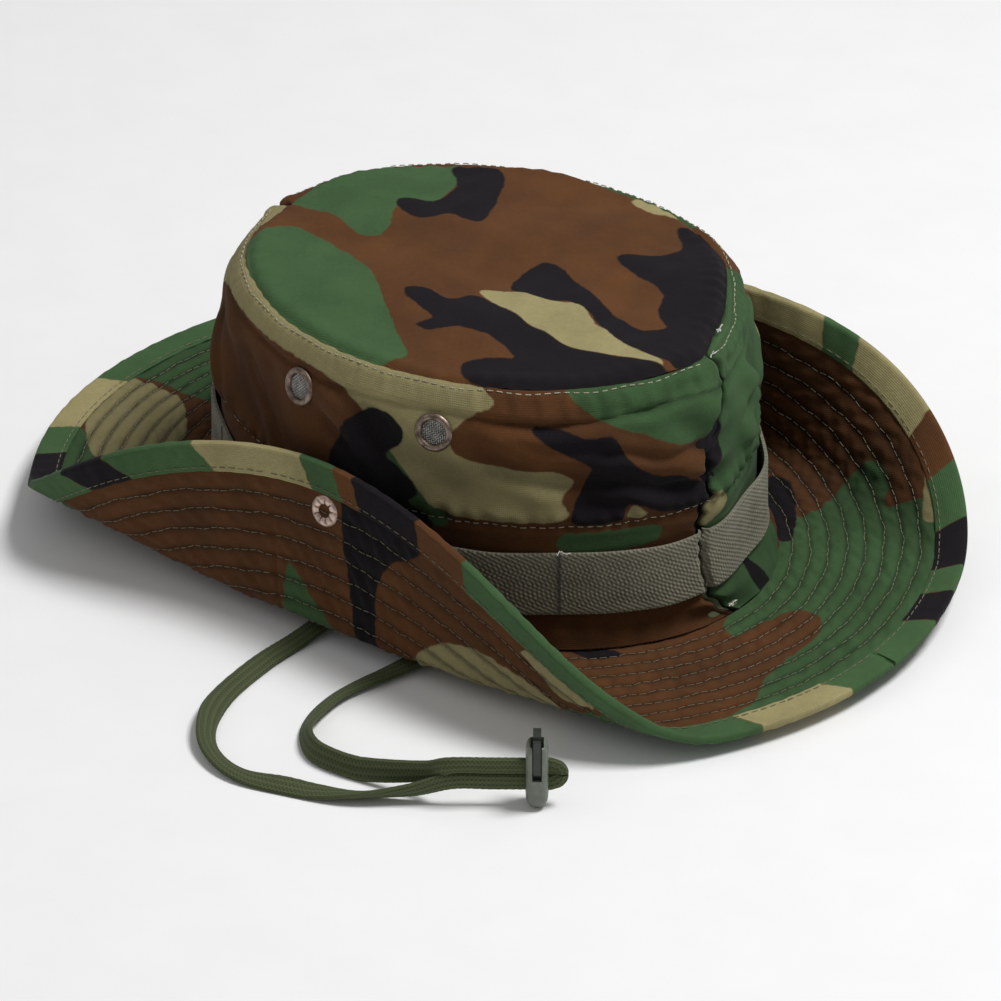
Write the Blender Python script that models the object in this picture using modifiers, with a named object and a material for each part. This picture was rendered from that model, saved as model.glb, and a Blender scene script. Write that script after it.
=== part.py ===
"""Boonie hat with a snapped-up side brim, screened vents, branch loops and a chin cord.

Front is +X, up is +Z, and the wearer's right is -Y.  The origin is the centre of the head
opening, at the joint between the crown and the brim.  Lengths below are in millimetres.
"""
import math

import bmesh
import bpy
import numpy as np
from mathutils import Matrix, Vector

MM = 0.001
GAP = 0.3                       # clearance between neighbouring pieces

# Crown: an oval wall that flares at its base and turns in to the top seam
WALL_LENGTH = 97.0              # half lengths and half widths of the ovals
WALL_WIDTH = 78.0
BASE_LENGTH = 102.0
BASE_WIDTH = 80.0
TOP_LENGTH = 87.5
TOP_WIDTH = 71.5
TOP_SEAM_Z = 91.0
FLARE_HEIGHT = 7.0
SHOULDER_Z = 70.0
DOME_HEIGHT = 2.5
CLOTH = 0.9
WALL_STEPS = 22                 # grid columns along one side panel
WALL_BOTTOM_Z = 1.7
WALL_TOP_Z = 90.2

# Brim: flat pattern between the base oval and the hem, both sides folded up
HEM_FRONT = 162.0
HEM_REAR = 160.0
HEM_RIGHT = 147.5
HEM_LEFT = 147.5
RISE_FRONT = 2.0
RISE_REAR = 6.0
RISE_RIGHT = 1.5
RISE_LEFT = 4.0
TWIST = 2.0
PLY = 0.8
FOLD_RADIUS = 5.0
FOLD_OPENING = 14.0             # how much the fold's radius grows towards its ends
FOLD_SPAN = 120.0               # half length over which the fold settings below fall off
SIDE_SEAM_X = -15.0
SEAM_GAP = 0.7                  # between the front and rear panels
SEAM_Y = 84.5                   # the side seams are radial lines through this half width
CUT_Z = 6.0                     # level where the moving part of each side begins
HINGE_Y = 95.0                  # just outside the brim at that level
FLAP_END_SHARE = 0.72           # the moving part ends where the cut has crossed this share
BINDING_WIDTH = 10.0
ROOT_STEPS = 56                 # grid columns round the whole brim
FLAP_STEPS = 66
BINDING_CLOTH = 0.6
BINDING_SLACK = 0.35            # extra room inside the folded binding

# Trim
BAND_LOW, BAND_HIGH = 14.0, 36.5
BAND_THICKNESS = 1.3
BAND_BOW = 2.4
BAND_TACKS = 8
SWEATBAND_LOW, SWEATBAND_HIGH = 2.4, 34.0
VENT_X = (-20.5, 32.0)
VENT_Z = 76.0
VENT_HOLE = 5.25                # radii of the holes through the cloth
POST_HOLE = 1.7
SOCKET_HOLE = 2.4
SNAP_X = -1.0
SNAP_Z = 42.0

# Chin cord and its lock
CORD_RADIUS = 2.4
CORD_PINCH = 0.56               # share of the radius where the cord is squeezed at the lock
CORD_Z = -3.75
CORD_HINGE_Y = -83.9
CORD_HINGE_Z = -6.2
LOCK_X, LOCK_Y = 114.2, -126.7
LOCK_TURN = math.radians(37.0)
LOCK_BOTTOM, LOCK_TOP = -5.9, 16.9
LOCK_LENGTH, LOCK_DEPTH = 8.0, 10.0
LOWER_RUN_Z, UPPER_RUN_Z = 2.4, 8.2
STRAIGHT_RUN = 27.0
PRESS_TRAVEL = 1.8
LOCK_WALL = 0.8                 # floor of the barrel below its bore
PLUNGER_FOOT = -2.0
PLUNGER_PROUD = 3.9             # how far the plunger stands above the barrel
SPRING_COIL, SPRING_WIRE, SPRING_TURNS, SPRING_STEPS = 1.25, 0.22, 3, 10

# Fold of each side: line of the fold (centre, drop to front, drop to rear), and its angle in
# degrees (centre, slope along the side, drop to front, drop to rear)
FOLD_LINE = {-1: (87.5, 16.0, 9.0), 1: (87.0, 22.0, 6.0)}
FOLD_ANGLE = {-1: (99.0, -9.0, 33.0, 60.0), 1: (98.0, -8.6, 56.0, 25.0)}
SIDE_NAME = {-1: "right", 1: "left"}
HEM_WIDTH = {-1: HEM_RIGHT, 1: HEM_LEFT}

COLOURS = {
    "brown_cloth": (0.105, 0.045, 0.018, 0.92, 0.0),
    "green_cloth": (0.048, 0.130, 0.058, 0.92, 0.0),
    "tan_cloth": (0.320, 0.270, 0.140, 0.92, 0.0),
    "webbing": (0.185, 0.175, 0.125, 0.85, 0.0),
    "cord": (0.048, 0.062, 0.026, 0.88, 0.0),
    "lock_plastic": (0.070, 0.080, 0.055, 0.45, 0.0),
    "bronze": (0.220, 0.175, 0.135, 0.42, 1.0),
    "steel": (0.420, 0.420, 0.400, 0.38, 1.0),
}


# ---------------------------------------------------------------- scene helpers

def clear_scene():
    for item in list(bpy.data.objects):
        bpy.data.objects.remove(item, do_unlink=True)


def make_collection(name):
    group = bpy.data.collections.new(name)
    bpy.context.scene.collection.children.link(group)
    return group


def material(name):
    found = bpy.data.materials.get(name)
    if found:
        return found
    red, green, blue, roughness, metallic = COLOURS[name]
    made = bpy.data.materials.new(name)
    made.use_nodes = True
    shader = made.node_tree.nodes["Principled BSDF"]
    shader.inputs["Base Color"].default_value = (red, green, blue, 1.0)
    shader.inputs["Roughness"].default_value = roughness
    shader.inputs["Metallic"].default_value = metallic
    made.diffuse_color = (red, green, blue, 1.0)
    return made


def place(name, mesh, group, colour=None):
    item = bpy.data.objects.new(name, mesh)
    group.objects.link(item)
    if colour:
        mesh.materials.append(material(colour))
    return item


def hide_cutter(item):
    item.hide_render = True
    item.display_type = "WIRE"


def thicken(item, thickness):
    solid = item.modifiers.new("thickness", "SOLIDIFY")
    solid.thickness = thickness * MM
    solid.offset = 0.0
    solid.use_even_offset = True
    flat = item.modifiers.new("flat_faces", "TRIANGULATE")
    flat.quad_method = "FIXED"


def cut(item, cutter):
    hole = item.modifiers.new("hole", "BOOLEAN")
    hole.operation = "DIFFERENCE"
    hole.solver = "EXACT"
    hole.object = cutter


def hang(items, name, centre, group):
    """Parent the pieces of one moving body to an empty on its joint's axis."""
    pivot = bpy.data.objects.new(name, None)
    pivot.location = Vector(centre) * MM
    group.objects.link(pivot)
    for item in items:
        item.parent = pivot
        item.matrix_parent_inverse = Matrix.Translation(-Vector(centre) * MM)


def frame_matrix(centre, axis):
    """Stand local +Z on a point, along an axis."""
    turn = Vector(axis).to_track_quat("Z", "X")
    return Matrix.Translation(Vector(centre) * MM) @ turn.to_matrix().to_4x4()


# ---------------------------------------------------------------- shape of the hat

def wall_axes(z):
    shoulder = min(max((z - SHOULDER_Z) / (TOP_SEAM_Z - SHOULDER_Z), 0.0), 1.0) ** 2
    flare = math.exp(-z / FLARE_HEIGHT)
    length = WALL_LENGTH + (BASE_LENGTH - WALL_LENGTH) * flare - (WALL_LENGTH - TOP_LENGTH) * shoulder
    width = WALL_WIDTH + (BASE_WIDTH - WALL_WIDTH) * flare - (WALL_WIDTH - TOP_WIDTH) * shoulder
    return length, width


def wall_frame(angle, z):
    """Point on the middle of the crown wall, and the outward normal there."""
    length, width = wall_axes(z)
    point = np.array([length * math.cos(angle), width * math.sin(angle), z])
    around = np.array([-length * math.sin(angle), width * math.cos(angle), 0.0])
    high_length, high_width = wall_axes(z + 0.5)
    low_length, low_width = wall_axes(z - 0.5)
    up = np.array([(high_length - low_length) * math.cos(angle),
                   (high_width - low_width) * math.sin(angle), 1.0])
    normal = np.cross(around, up)
    return point, normal / np.linalg.norm(normal)


def wall_point(angle, z, offset=0.0):
    point, normal = wall_frame(angle, z)
    return point + normal * offset


def base_radius(polar):
    return 1.0 / math.hypot(math.cos(polar) / BASE_LENGTH, math.sin(polar) / BASE_WIDTH)


def hem_radius(polar, inset=0.0):
    length = HEM_FRONT if math.cos(polar) > 0 else HEM_REAR
    width = HEM_RIGHT if math.sin(polar) < 0 else HEM_LEFT
    return 1.0 / math.hypot(math.cos(polar) / (length - inset), math.sin(polar) / (width - inset))


def hem_rise(polar):
    along, across = math.cos(polar) ** 2, math.sin(polar) ** 2
    end = RISE_FRONT if math.cos(polar) > 0 else RISE_REAR
    side = RISE_RIGHT if math.sin(polar) < 0 else RISE_LEFT
    return end * along + side * across + TWIST * math.sin(2 * polar)


def fold_start(x, side):
    centre, front, rear = FOLD_LINE[side]
    return centre - (front if x > 0 else rear) * (x / FOLD_SPAN) ** 2


def fold_angle(x, side):
    centre, slope, front, rear = FOLD_ANGLE[side]
    share = x / FOLD_SPAN
    return math.radians(centre + slope * share - (front if x > 0 else rear) * share ** 2)


def fold_radius(x):
    return FOLD_RADIUS + FOLD_OPENING * (x / FOLD_SPAN) ** 2


def brim_middle(polar, radius):
    """Middle of the brim's thickness at a point of its flat pattern, after folding."""
    x, y = radius * math.cos(polar), radius * math.sin(polar)
    side = -1 if y < 0 else 1
    inner, outer = base_radius(polar), hem_radius(polar)
    z = hem_rise(polar) * (radius - inner) / (outer - inner)
    start, angle, bend = fold_start(x, side), fold_angle(x, side), fold_radius(x)
    past = max(abs(y) - start, 0.0)
    turned = min(past / bend, angle)
    straight = past - turned * bend
    across = min(abs(y), start) + bend * math.sin(turned) + straight * math.cos(angle)
    lift = bend * (1 - math.cos(turned)) + straight * math.sin(angle)
    return np.array([x, side * across, z + lift])


def brim_frame(polar, radius):
    point = brim_middle(polar, radius)
    step = 0.05
    around = brim_middle(polar + step / radius, radius) - brim_middle(polar - step / radius, radius)
    outward = brim_middle(polar, radius + step) - brim_middle(polar, radius - step)
    normal = np.cross(outward, around)
    return point, normal / np.linalg.norm(normal)


def brim_point(polar, radius, offset=0.0):
    point, normal = brim_frame(polar, radius)
    return point + normal * offset


def first_radius(polar, test):
    """Smallest pattern radius at which a test holds, or the hem."""
    low, high = base_radius(polar), hem_radius(polar)
    if not test(high):
        return high
    for _ in range(30):
        middle = (low + high) / 2
        if test(middle):
            high = middle
        else:
            low = middle
    return high


def cut_radius(polar, inset):
    """Pattern radius where the folded brim rises through the level of the cut."""
    side = -1 if math.sin(polar) < 0 else 1

    def beyond(radius):
        folded = abs(radius * math.sin(polar)) >= fold_start(radius * math.cos(polar), side)
        return folded and brim_middle(polar, radius)[2] >= CUT_Z + inset

    return first_radius(polar, beyond)


def pattern_fold_radius(polar):
    side = -1 if math.sin(polar) < 0 else 1

    def folded(radius):
        return abs(radius * math.sin(polar)) >= fold_start(radius * math.cos(polar), side)

    return first_radius(polar, folded)


# ---------------------------------------------------------------- brim pieces

def share_out(polar, radius):
    inner = base_radius(polar)
    return (radius - inner) / (hem_radius(polar) - inner)


def flap_limits(side):
    """Polar angles, front and rear, where the moving part of a side ends."""
    def beyond(turn):
        return share_out(side * turn, cut_radius(side * turn, 0.0)) > FLAP_END_SHARE

    limits = []
    for start, stop in ((0.2, math.pi / 2), (math.pi - 0.2, math.pi / 2)):
        for _ in range(30):
            middle = (start + stop) / 2
            if beyond(middle):
                start = middle
            else:
                stop = middle
        limits.append(stop)
    return limits


def brim_rows(polar, inset, edge_inset):
    """Radii of the grid rows from the crown to the cut, and from the cut to the hem."""
    inner, outer = base_radius(polar) - 1.2, hem_radius(polar, edge_inset)
    split = min(cut_radius(polar, inset), inner + FLAP_END_SHARE * (outer - inner))
    fold = pattern_fold_radius(polar)
    side = -1 if math.sin(polar) < 0 else 1
    fold_x = fold * math.cos(polar)
    bend = fold_radius(fold_x) * fold_angle(fold_x, side)
    first = min(fold, inner + 0.6 * (split - inner))
    last = min(max(first + bend, first + 0.4 * (split - first)), split - 0.1 * (split - inner))
    inside = [inner, (inner + first) / 2, first]
    inside += [first + (last - first) * step / 2 for step in (1, 2)]
    inside.append(split)
    low = max(fold, split + 0.03 * (outer - split))
    low = min(low, split + 0.3 * (outer - split))
    high = min(max(low + bend, low + 0.2 * (outer - low)), outer - 0.3 * (outer - low))
    edge = max(outer - BINDING_WIDTH + edge_inset, (high + outer) / 2)
    outside = [split, low]
    outside += [low + (high - low) * step / 3 for step in (1, 2, 3)]
    outside += [(high + edge) / 2, edge, outer]
    return inside, outside


def sheet_mesh(name, columns, used):
    """Open quad sheet through columns of points; used(i, j) says which cells exist."""
    shell = bmesh.new()
    grid = {}

    def vertex(i, j):
        if (i, j) not in grid:
            grid[i, j] = shell.verts.new([value * MM for value in columns[i][j]])
        return grid[i, j]

    for i in range(len(columns) - 1):
        for j in range(len(columns[0]) - 1):
            if used(i, j):
                corners = (vertex(i, j), vertex(i + 1, j), vertex(i + 1, j + 1), vertex(i, j + 1))
                shell.faces.new(corners)
    mesh = bpy.data.meshes.new(name)
    shell.to_mesh(mesh)
    shell.free()
    return mesh


def polar_steps(first, last, limits, count):
    """Evenly spread angles that include the flap limits."""
    stops = sorted({first, last, *[limit for limit in limits if first < limit < last]})
    angles = [first]
    for start, stop in zip(stops, stops[1:]):
        pieces = max(2, round(count * (stop - start) / (2 * math.pi)))
        angles += [start + (stop - start) * step / pieces for step in range(1, pieces + 1)]
    return angles


def seam_angle(side):
    return side * (math.pi / 2 + math.atan2(-SIDE_SEAM_X, SEAM_Y))


def half_ranges():
    """Angle ranges of the front and the rear panel, clear of the side seams."""
    clear = SEAM_GAP / 2 / SEAM_Y
    right, left = seam_angle(-1), seam_angle(1)
    return {"front": (right + clear, left - clear),
            "rear": (left + clear, right + 2 * math.pi - clear)}


def brim_root_ply(name, half, offset, colour, group):
    first, last = half_ranges()[half]
    limits = []
    for side in (-1, 1):
        front, rear = flap_limits(side)
        limits += [side * front, side * rear, side * front + 2 * math.pi, side * rear + 2 * math.pi]
    angles = polar_steps(first, last, limits, ROOT_STEPS)
    columns = []
    for angle in angles:
        polar = math.remainder(angle, 2 * math.pi)
        inside, outside = brim_rows(polar, -GAP / 2, 1.0)
        columns.append([brim_point(polar, radius, offset) for radius in inside + outside[1:]])
    inner_cells = len(inside) - 1

    def used(i, j):
        middle = abs(math.remainder((angles[i] + angles[i + 1]) / 2, 2 * math.pi))
        side = -1 if math.remainder((angles[i] + angles[i + 1]) / 2, 2 * math.pi) < 0 else 1
        front, rear = flap_limits(side)
        return j < inner_cells or middle < front or middle > rear

    item = place(name, sheet_mesh(name, columns, used), group, colour)
    thicken(item, PLY)
    return item


def flap_range(side, half):
    """Angles of one panel of a folded side, clear of the end cuts and the side seam."""
    front, rear = flap_limits(side)
    end_clear = GAP / 130.0
    seam = abs(seam_angle(side))
    if half == "front":
        return front + end_clear, seam - SEAM_GAP / 2 / SEAM_Y
    return seam + SEAM_GAP / 2 / SEAM_Y, rear - end_clear


def brim_flap_ply(name, side, half, offset, colour, group):
    first, last = flap_range(side, half)
    angles = polar_steps(first, last, (), FLAP_STEPS)
    columns = []
    for angle in angles:
        outside = brim_rows(side * angle, GAP / 2, 1.0)[1]
        columns.append([brim_point(side * angle, radius, offset) for radius in outside])
    item = place(name, sheet_mesh(name, columns, lambda i, j: True), group, colour)
    thicken(item, PLY)
    return item


def binding_section(polar):
    """Outline of the folded binding at one place on the hem."""
    inner_half = PLY + GAP / 2 + GAP + BINDING_SLACK
    outer_half = inner_half + BINDING_CLOTH
    corner = 0.7
    steps = [BINDING_WIDTH, 0.67 * BINDING_WIDTH, 0.33 * BINDING_WIDTH, corner]
    outline = [(inset, outer_half) for inset in steps]
    outline += [(0.0, outer_half - corner), (0.0, corner - outer_half)]
    outline += [(inset, -outer_half) for inset in reversed(steps)]
    outline += [(inset, -inner_half) for inset in steps]
    outline += [(BINDING_CLOTH, corner - inner_half), (BINDING_CLOTH, inner_half - corner)]
    outline += [(inset, inner_half) for inset in reversed(steps)]
    return [brim_point(polar, hem_radius(polar, inset), offset) for inset, offset in outline]


def binding(name, angles, colour, group):
    """Closed channel lofted along the hem."""
    shell = bmesh.new()
    rings = []
    for angle in angles:
        section = binding_section(math.remainder(angle, 2 * math.pi))
        rings.append([shell.verts.new([value * MM for value in point]) for point in section])
    count = len(rings[0])
    for ring, following in zip(rings, rings[1:]):
        for k in range(count):
            after = (k + 1) % count
            shell.faces.new((ring[k], following[k], following[after], ring[after]))
    for ring in (rings[0], rings[-1]):
        for k in range(count // 2 - 1):
            shell.faces.new((ring[k], ring[k + 1], ring[count - 2 - k], ring[count - 1 - k]))
    bmesh.ops.recalc_face_normals(shell, faces=shell.faces)
    bmesh.ops.triangulate(shell, faces=shell.faces, quad_method="FIXED")
    mesh = bpy.data.meshes.new(name)
    shell.to_mesh(mesh)
    shell.free()
    return place(name, mesh, group, colour)


# ---------------------------------------------------------------- crown pieces

def crown_panel(name, side, colour, group):
    clear = GAP / 2 / WALL_WIDTH
    angles = np.linspace(clear, math.pi - clear, WALL_STEPS + 1) * side
    heights = (WALL_BOTTOM_Z, 5.0, 12.0, 40.0, 69.0, 76.5, 83.5, WALL_TOP_Z)
    columns = [[wall_point(angle, z) for z in heights] for angle in angles]
    item = place(name, sheet_mesh(name, columns, lambda i, j: True), group, colour)
    thicken(item, CLOTH)
    return item


def wall_ring(name, heights, offset_at, thickness, count, colour, group):
    """Closed band that follows the crown wall."""
    shell = bmesh.new()
    rings = []
    for step in range(count):
        angle = 2 * math.pi * step / count
        points = [wall_point(angle, z, offset_at(angle)) * MM for z in heights]
        rings.append([shell.verts.new(point) for point in points])
    for step in range(count):
        ring, following = rings[step], rings[(step + 1) % count]
        for j in range(len(heights) - 1):
            shell.faces.new((ring[j], following[j], following[j + 1], ring[j + 1]))
    mesh = bpy.data.meshes.new(name)
    shell.to_mesh(mesh)
    shell.free()
    item = place(name, mesh, group, colour)
    thicken(item, thickness)
    return item


def crown_top(name, colour, group):
    """Domed oval panel that sits on the wall's upper edge."""
    shell = bmesh.new()
    edge_z = TOP_SEAM_Z + 0.25
    centre = shell.verts.new((0.0, 0.0, (edge_z + DOME_HEIGHT) * MM))
    count = 2 * WALL_STEPS
    previous = None
    for share in (0.3, 0.6, 0.85, 1.0):
        ring = []
        for step in range(count):
            angle = 2 * math.pi * step / count
            x = TOP_LENGTH * share * math.cos(angle)
            y = TOP_WIDTH * share * math.sin(angle)
            ring.append(shell.verts.new((x * MM, y * MM, (edge_z + DOME_HEIGHT * (1 - share ** 2)) * MM)))
        for step in range(count):
            after = (step + 1) % count
            if previous is None:
                shell.faces.new((centre, ring[step], ring[after]))
            else:
                shell.faces.new((previous[step], ring[step], ring[after], previous[after]))
        previous = ring
    mesh = bpy.data.meshes.new(name)
    shell.to_mesh(mesh)
    shell.free()
    item = place(name, mesh, group, colour)
    thicken(item, CLOTH)
    return item


def band_offset(angle):
    """The branch loop band bows away from the wall between its tacks."""
    bow = BAND_BOW * math.sin(angle * BAND_TACKS / 2) ** 2
    return CLOTH / 2 + GAP + BAND_THICKNESS / 2 + bow


# ---------------------------------------------------------------- turned metal pieces

def turned(name, profile, matrix, colour, group, steps=16):
    """Ring or disc turned from a closed outline of (radius, height) points."""
    mesh = bpy.data.meshes.new(name)
    points = [(radius * MM, 0.0, height * MM) for radius, height in profile]
    closed = min(radius for radius, height in profile) > 0
    edges = [(k, k + 1) for k in range(len(points) - 1)]
    if closed:
        edges.append((len(points) - 1, 0))
    mesh.from_pydata(points, edges, [])
    item = place(name, mesh, group, colour)
    item.matrix_world = matrix
    screw = item.modifiers.new("turn", "SCREW")
    screw.steps = steps
    screw.render_steps = steps
    screw.use_merge_vertices = True
    screw.merge_threshold = 0.00001
    return item


def cylinder_cutter(name, radius, matrix, group):
    mesh = bpy.data.meshes.new(name)
    shape = bmesh.new()
    bmesh.ops.create_cone(shape, cap_ends=True, segments=20, radius1=radius * MM,
                          radius2=radius * MM, depth=8.0 * MM)
    shape.to_mesh(mesh)
    shape.free()
    item = place(name, mesh, group)
    item.matrix_world = matrix
    hide_cutter(item)
    return item


def vent(name, side, x, wall, group, cutters):
    """Screened eyelet: rim with its barrel through the cloth, woven screen and inner washer."""
    angle = side * math.acos(x / wall_axes(VENT_Z)[0])
    centre, axis = wall_frame(angle, VENT_Z)
    matrix = frame_matrix(centre, axis)
    cut(wall, cylinder_cutter(name + "_hole", VENT_HOLE, matrix, cutters))
    top = CLOTH / 2 + GAP
    rim = [(4.3, top + 0.9), (5.3, top + 1.1), (6.5, top + 0.5), (6.5, top), (4.9, top), (4.9, -2.4),
           (5.7, -2.4), (5.7, -2.9), (4.2, -2.9), (4.2, top + 0.6)]
    turned(name + "_eyelet", rim, matrix, "bronze", group)
    turned(name + "_screen", [(0.0, 0.6), (3.9, 0.6), (3.9, 0.2), (0.0, 0.2)], matrix, "steel", group)
    turned(name + "_washer", [(5.2, -1.5), (6.5, -1.5), (6.5, -2.1), (5.2, -2.1)], matrix, "steel", group)


def crown_snap_half(side, wall, group, cutters):
    """Stud on the outside of the crown, held by a post from the inside."""
    name = "snap_" + SIDE_NAME[side]
    angle = side * math.acos(SNAP_X / wall_axes(SNAP_Z)[0])
    centre, axis = wall_frame(angle, SNAP_Z)
    matrix = frame_matrix(centre, axis)
    cut(wall, cylinder_cutter(name + "_wall_hole", POST_HOLE, matrix, cutters))
    low = CLOTH / 2 + GAP
    stud = [(0.0, 5.9), (1.6, 5.9), (2.2, 5.3), (1.9, 4.4), (1.9, 1.9), (4.9, low + 0.7), (5.1, low),
            (0.0, low)]
    turned(name + "_stud", stud, matrix, "steel", group)
    post = [(0.0, low - GAP), (1.2, low - GAP), (1.2, -low), (4.5, -low), (3.6, -low - 0.9),
            (0.0, -low - 1.1)]
    turned(name + "_post", post, matrix, "bronze", group)


def flap_snap_place(side):
    """Pattern place on the folded side that meets the stud, and the normal facing the crown."""
    low, high = FOLD_LINE[side][0], HEM_WIDTH[side]
    for _ in range(40):
        middle = (low + high) / 2
        polar = math.atan2(side * middle, SNAP_X)
        if brim_middle(polar, math.hypot(middle, SNAP_X))[2] < SNAP_Z:
            low = middle
        else:
            high = middle
    polar = math.atan2(side * high, SNAP_X)
    centre, axis = brim_frame(polar, math.hypot(high, SNAP_X))
    return centre, axis if axis[1] * side < 0 else -axis


def flap_snap_half(side, plies, group, cutters):
    """Socket on the face towards the crown, clinched by the pronged ring outside."""
    name = "snap_" + SIDE_NAME[side]
    centre, axis = flap_snap_place(side)
    matrix = frame_matrix(centre, axis)
    hole = cylinder_cutter(name + "_flap_hole", SOCKET_HOLE, matrix, cutters)
    for ply in plies:
        cut(ply, hole)
    face = PLY + GAP / 2 + GAP
    socket = [(2.75, face + 2.6), (4.0, face + 2.6), (4.5, face + 1.9), (4.5, face), (2.75, face)]
    pieces = [turned(name + "_socket", socket, matrix, "steel", group)]
    ring = [(1.3, face - GAP), (2.1, face - GAP), (2.1, -face), (4.6, -face), (4.4, -face - 0.6),
            (3.4, -face - 0.9), (2.2, -face - 0.6), (1.3, -face - 0.1)]
    pieces.append(turned(name + "_ring", ring, matrix, "bronze", group))
    return pieces


# ---------------------------------------------------------------- cord and lock

def smooth_path(points, pieces):
    """Catmull-Rom curve through points of any number of values."""
    rows = [np.array(point, float) for point in points]
    rows = [2 * rows[0] - rows[1]] + rows + [2 * rows[-1] - rows[-2]]
    path = []
    for a, b, c, d in zip(rows, rows[1:], rows[2:], rows[3:]):
        for step in range(pieces):
            t = step / pieces
            path.append(0.5 * (2 * b + (c - a) * t + (2 * a - 5 * b + 4 * c - d) * t * t
                               + (3 * b - a - 3 * c + d) * t ** 3))
    path.append(rows[-2])
    return path


def tube(name, path, radius, colour, group, smoothness=2):
    """Closed round cord or wire along (x, y, z, share of the radius) points."""
    line = bpy.data.curves.new(name, "CURVE")
    line.dimensions = "3D"
    line.bevel_depth = radius * MM
    line.bevel_resolution = smoothness
    line.use_fill_caps = True
    spline = line.splines.new("POLY")
    spline.points.add(len(path) - 1)
    for point, row in zip(spline.points, path):
        point.co = (row[0] * MM, row[1] * MM, row[2] * MM, 1.0)
        point.radius = row[3]
    line.materials.append(material(colour))
    item = bpy.data.objects.new(name, line)
    group.objects.link(item)
    return item


def lock_place(along, z, share=CORD_PINCH):
    """Point on the straight run through the lock, measured from the lock's middle."""
    return (LOCK_X + along * math.cos(LOCK_TURN), LOCK_Y + along * math.sin(LOCK_TURN), z, share)


def cord_pieces(group):
    z, start_y = CORD_Z, CORD_HINGE_Y
    right = [(-4, -74.3, 9, 1), (-4, -74.3, 2, 1), (-4.3, -75.2, -2.3, 1), (-5, -78.5, z, 1),
             (-6.2, start_y + GAP, z, 1)]
    tube("chin_cord_end_right", smooth_path(right, 2), CORD_RADIUS, "cord", group)
    inside = [(88 * math.cos(turn), 68 * math.sin(turn), z, 1)
              for turn in (math.radians(degrees) for degrees in range(72, -61, -22))]
    left = [(0, 74.3, 9, 1), (0, 74.3, 2, 1), (1.5, 73.4, -2.3, 1), (8, 70, z, 1)]
    left += inside + [(36, -74, z, 1), (32.7, start_y + GAP, z, 1)]
    tube("chin_cord_end_left", smooth_path(left, 2), CORD_RADIUS, "cord", group)

    begin = start_y - GAP
    lower = [(-6.3, begin, z, 1), (-7, -98, z, 1), (-7, -115.5, z, 1), (-4, -138, z, 1),
             (3.5, -155, z, 1), (14, -166.5, z, 1), (29, -171.5, z, 1), (47, -168, z, 1),
             (66, -160.5, z + 0.5, 1), (81.5, -150.5, -0.5, 0.9)]
    upper = [(65.5, -148, -2.5, 1), (54, -150, z, 1), (42.5, -149, z, 1), (33.5, -142, z, 1),
             (28, -130.5, z, 1), (26, -115.5, z, 1), (28, -101, z, 1), (32.7, begin, z, 1)]
    middle = (LOWER_RUN_Z + UPPER_RUN_Z) / 2
    reach = (UPPER_RUN_Z - LOWER_RUN_Z) / 2
    end = LOCK_LENGTH / 2 + GAP
    turn_back = [lock_place(end + reach * math.cos(turn), middle + reach * math.sin(turn))
                 for turn in (math.radians(degrees) for degrees in range(-90, 91, 30))]
    path = smooth_path(lower + [lock_place(-STRAIGHT_RUN, LOWER_RUN_Z)], 2)
    path += turn_back
    path += smooth_path([lock_place(-STRAIGHT_RUN, UPPER_RUN_Z), (83.5, -144, 4.0, 0.9)] + upper, 2)
    loop = tube("chin_cord_loop", path, CORD_RADIUS, "cord", group)
    hang((loop,), "chin_cord_swing_axis", (0.0, CORD_HINGE_Y, CORD_HINGE_Z), group)


def box_mesh(name, low, high, rounding=0.0):
    """Box between two corners, with its edges rounded."""
    shape = bmesh.new()
    bmesh.ops.create_cube(shape, size=1.0)
    size = [(b - a) * MM for a, b in zip(low, high)]
    centre = [(a + b) / 2 * MM for a, b in zip(low, high)]
    bmesh.ops.scale(shape, vec=size, verts=shape.verts)
    bmesh.ops.translate(shape, vec=centre, verts=shape.verts)
    if rounding:
        bmesh.ops.bevel(shape, geom=shape.edges, offset=rounding * MM, segments=3, profile=0.5,
                        affect="EDGES")
    mesh = bpy.data.meshes.new(name)
    shape.to_mesh(mesh)
    shape.free()
    return mesh


def lock_box(name, low, high, group, colour=None, rounding=0.0):
    item = place(name, box_mesh(name, low, high, rounding), group, colour)
    item.location = (LOCK_X * MM, LOCK_Y * MM, 0.0)
    item.rotation_euler = (0.0, 0.0, LOCK_TURN)
    return item


def lock_cutter(name, low, high, group):
    item = lock_box(name, low, high, group)
    hide_cutter(item)
    return item


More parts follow.
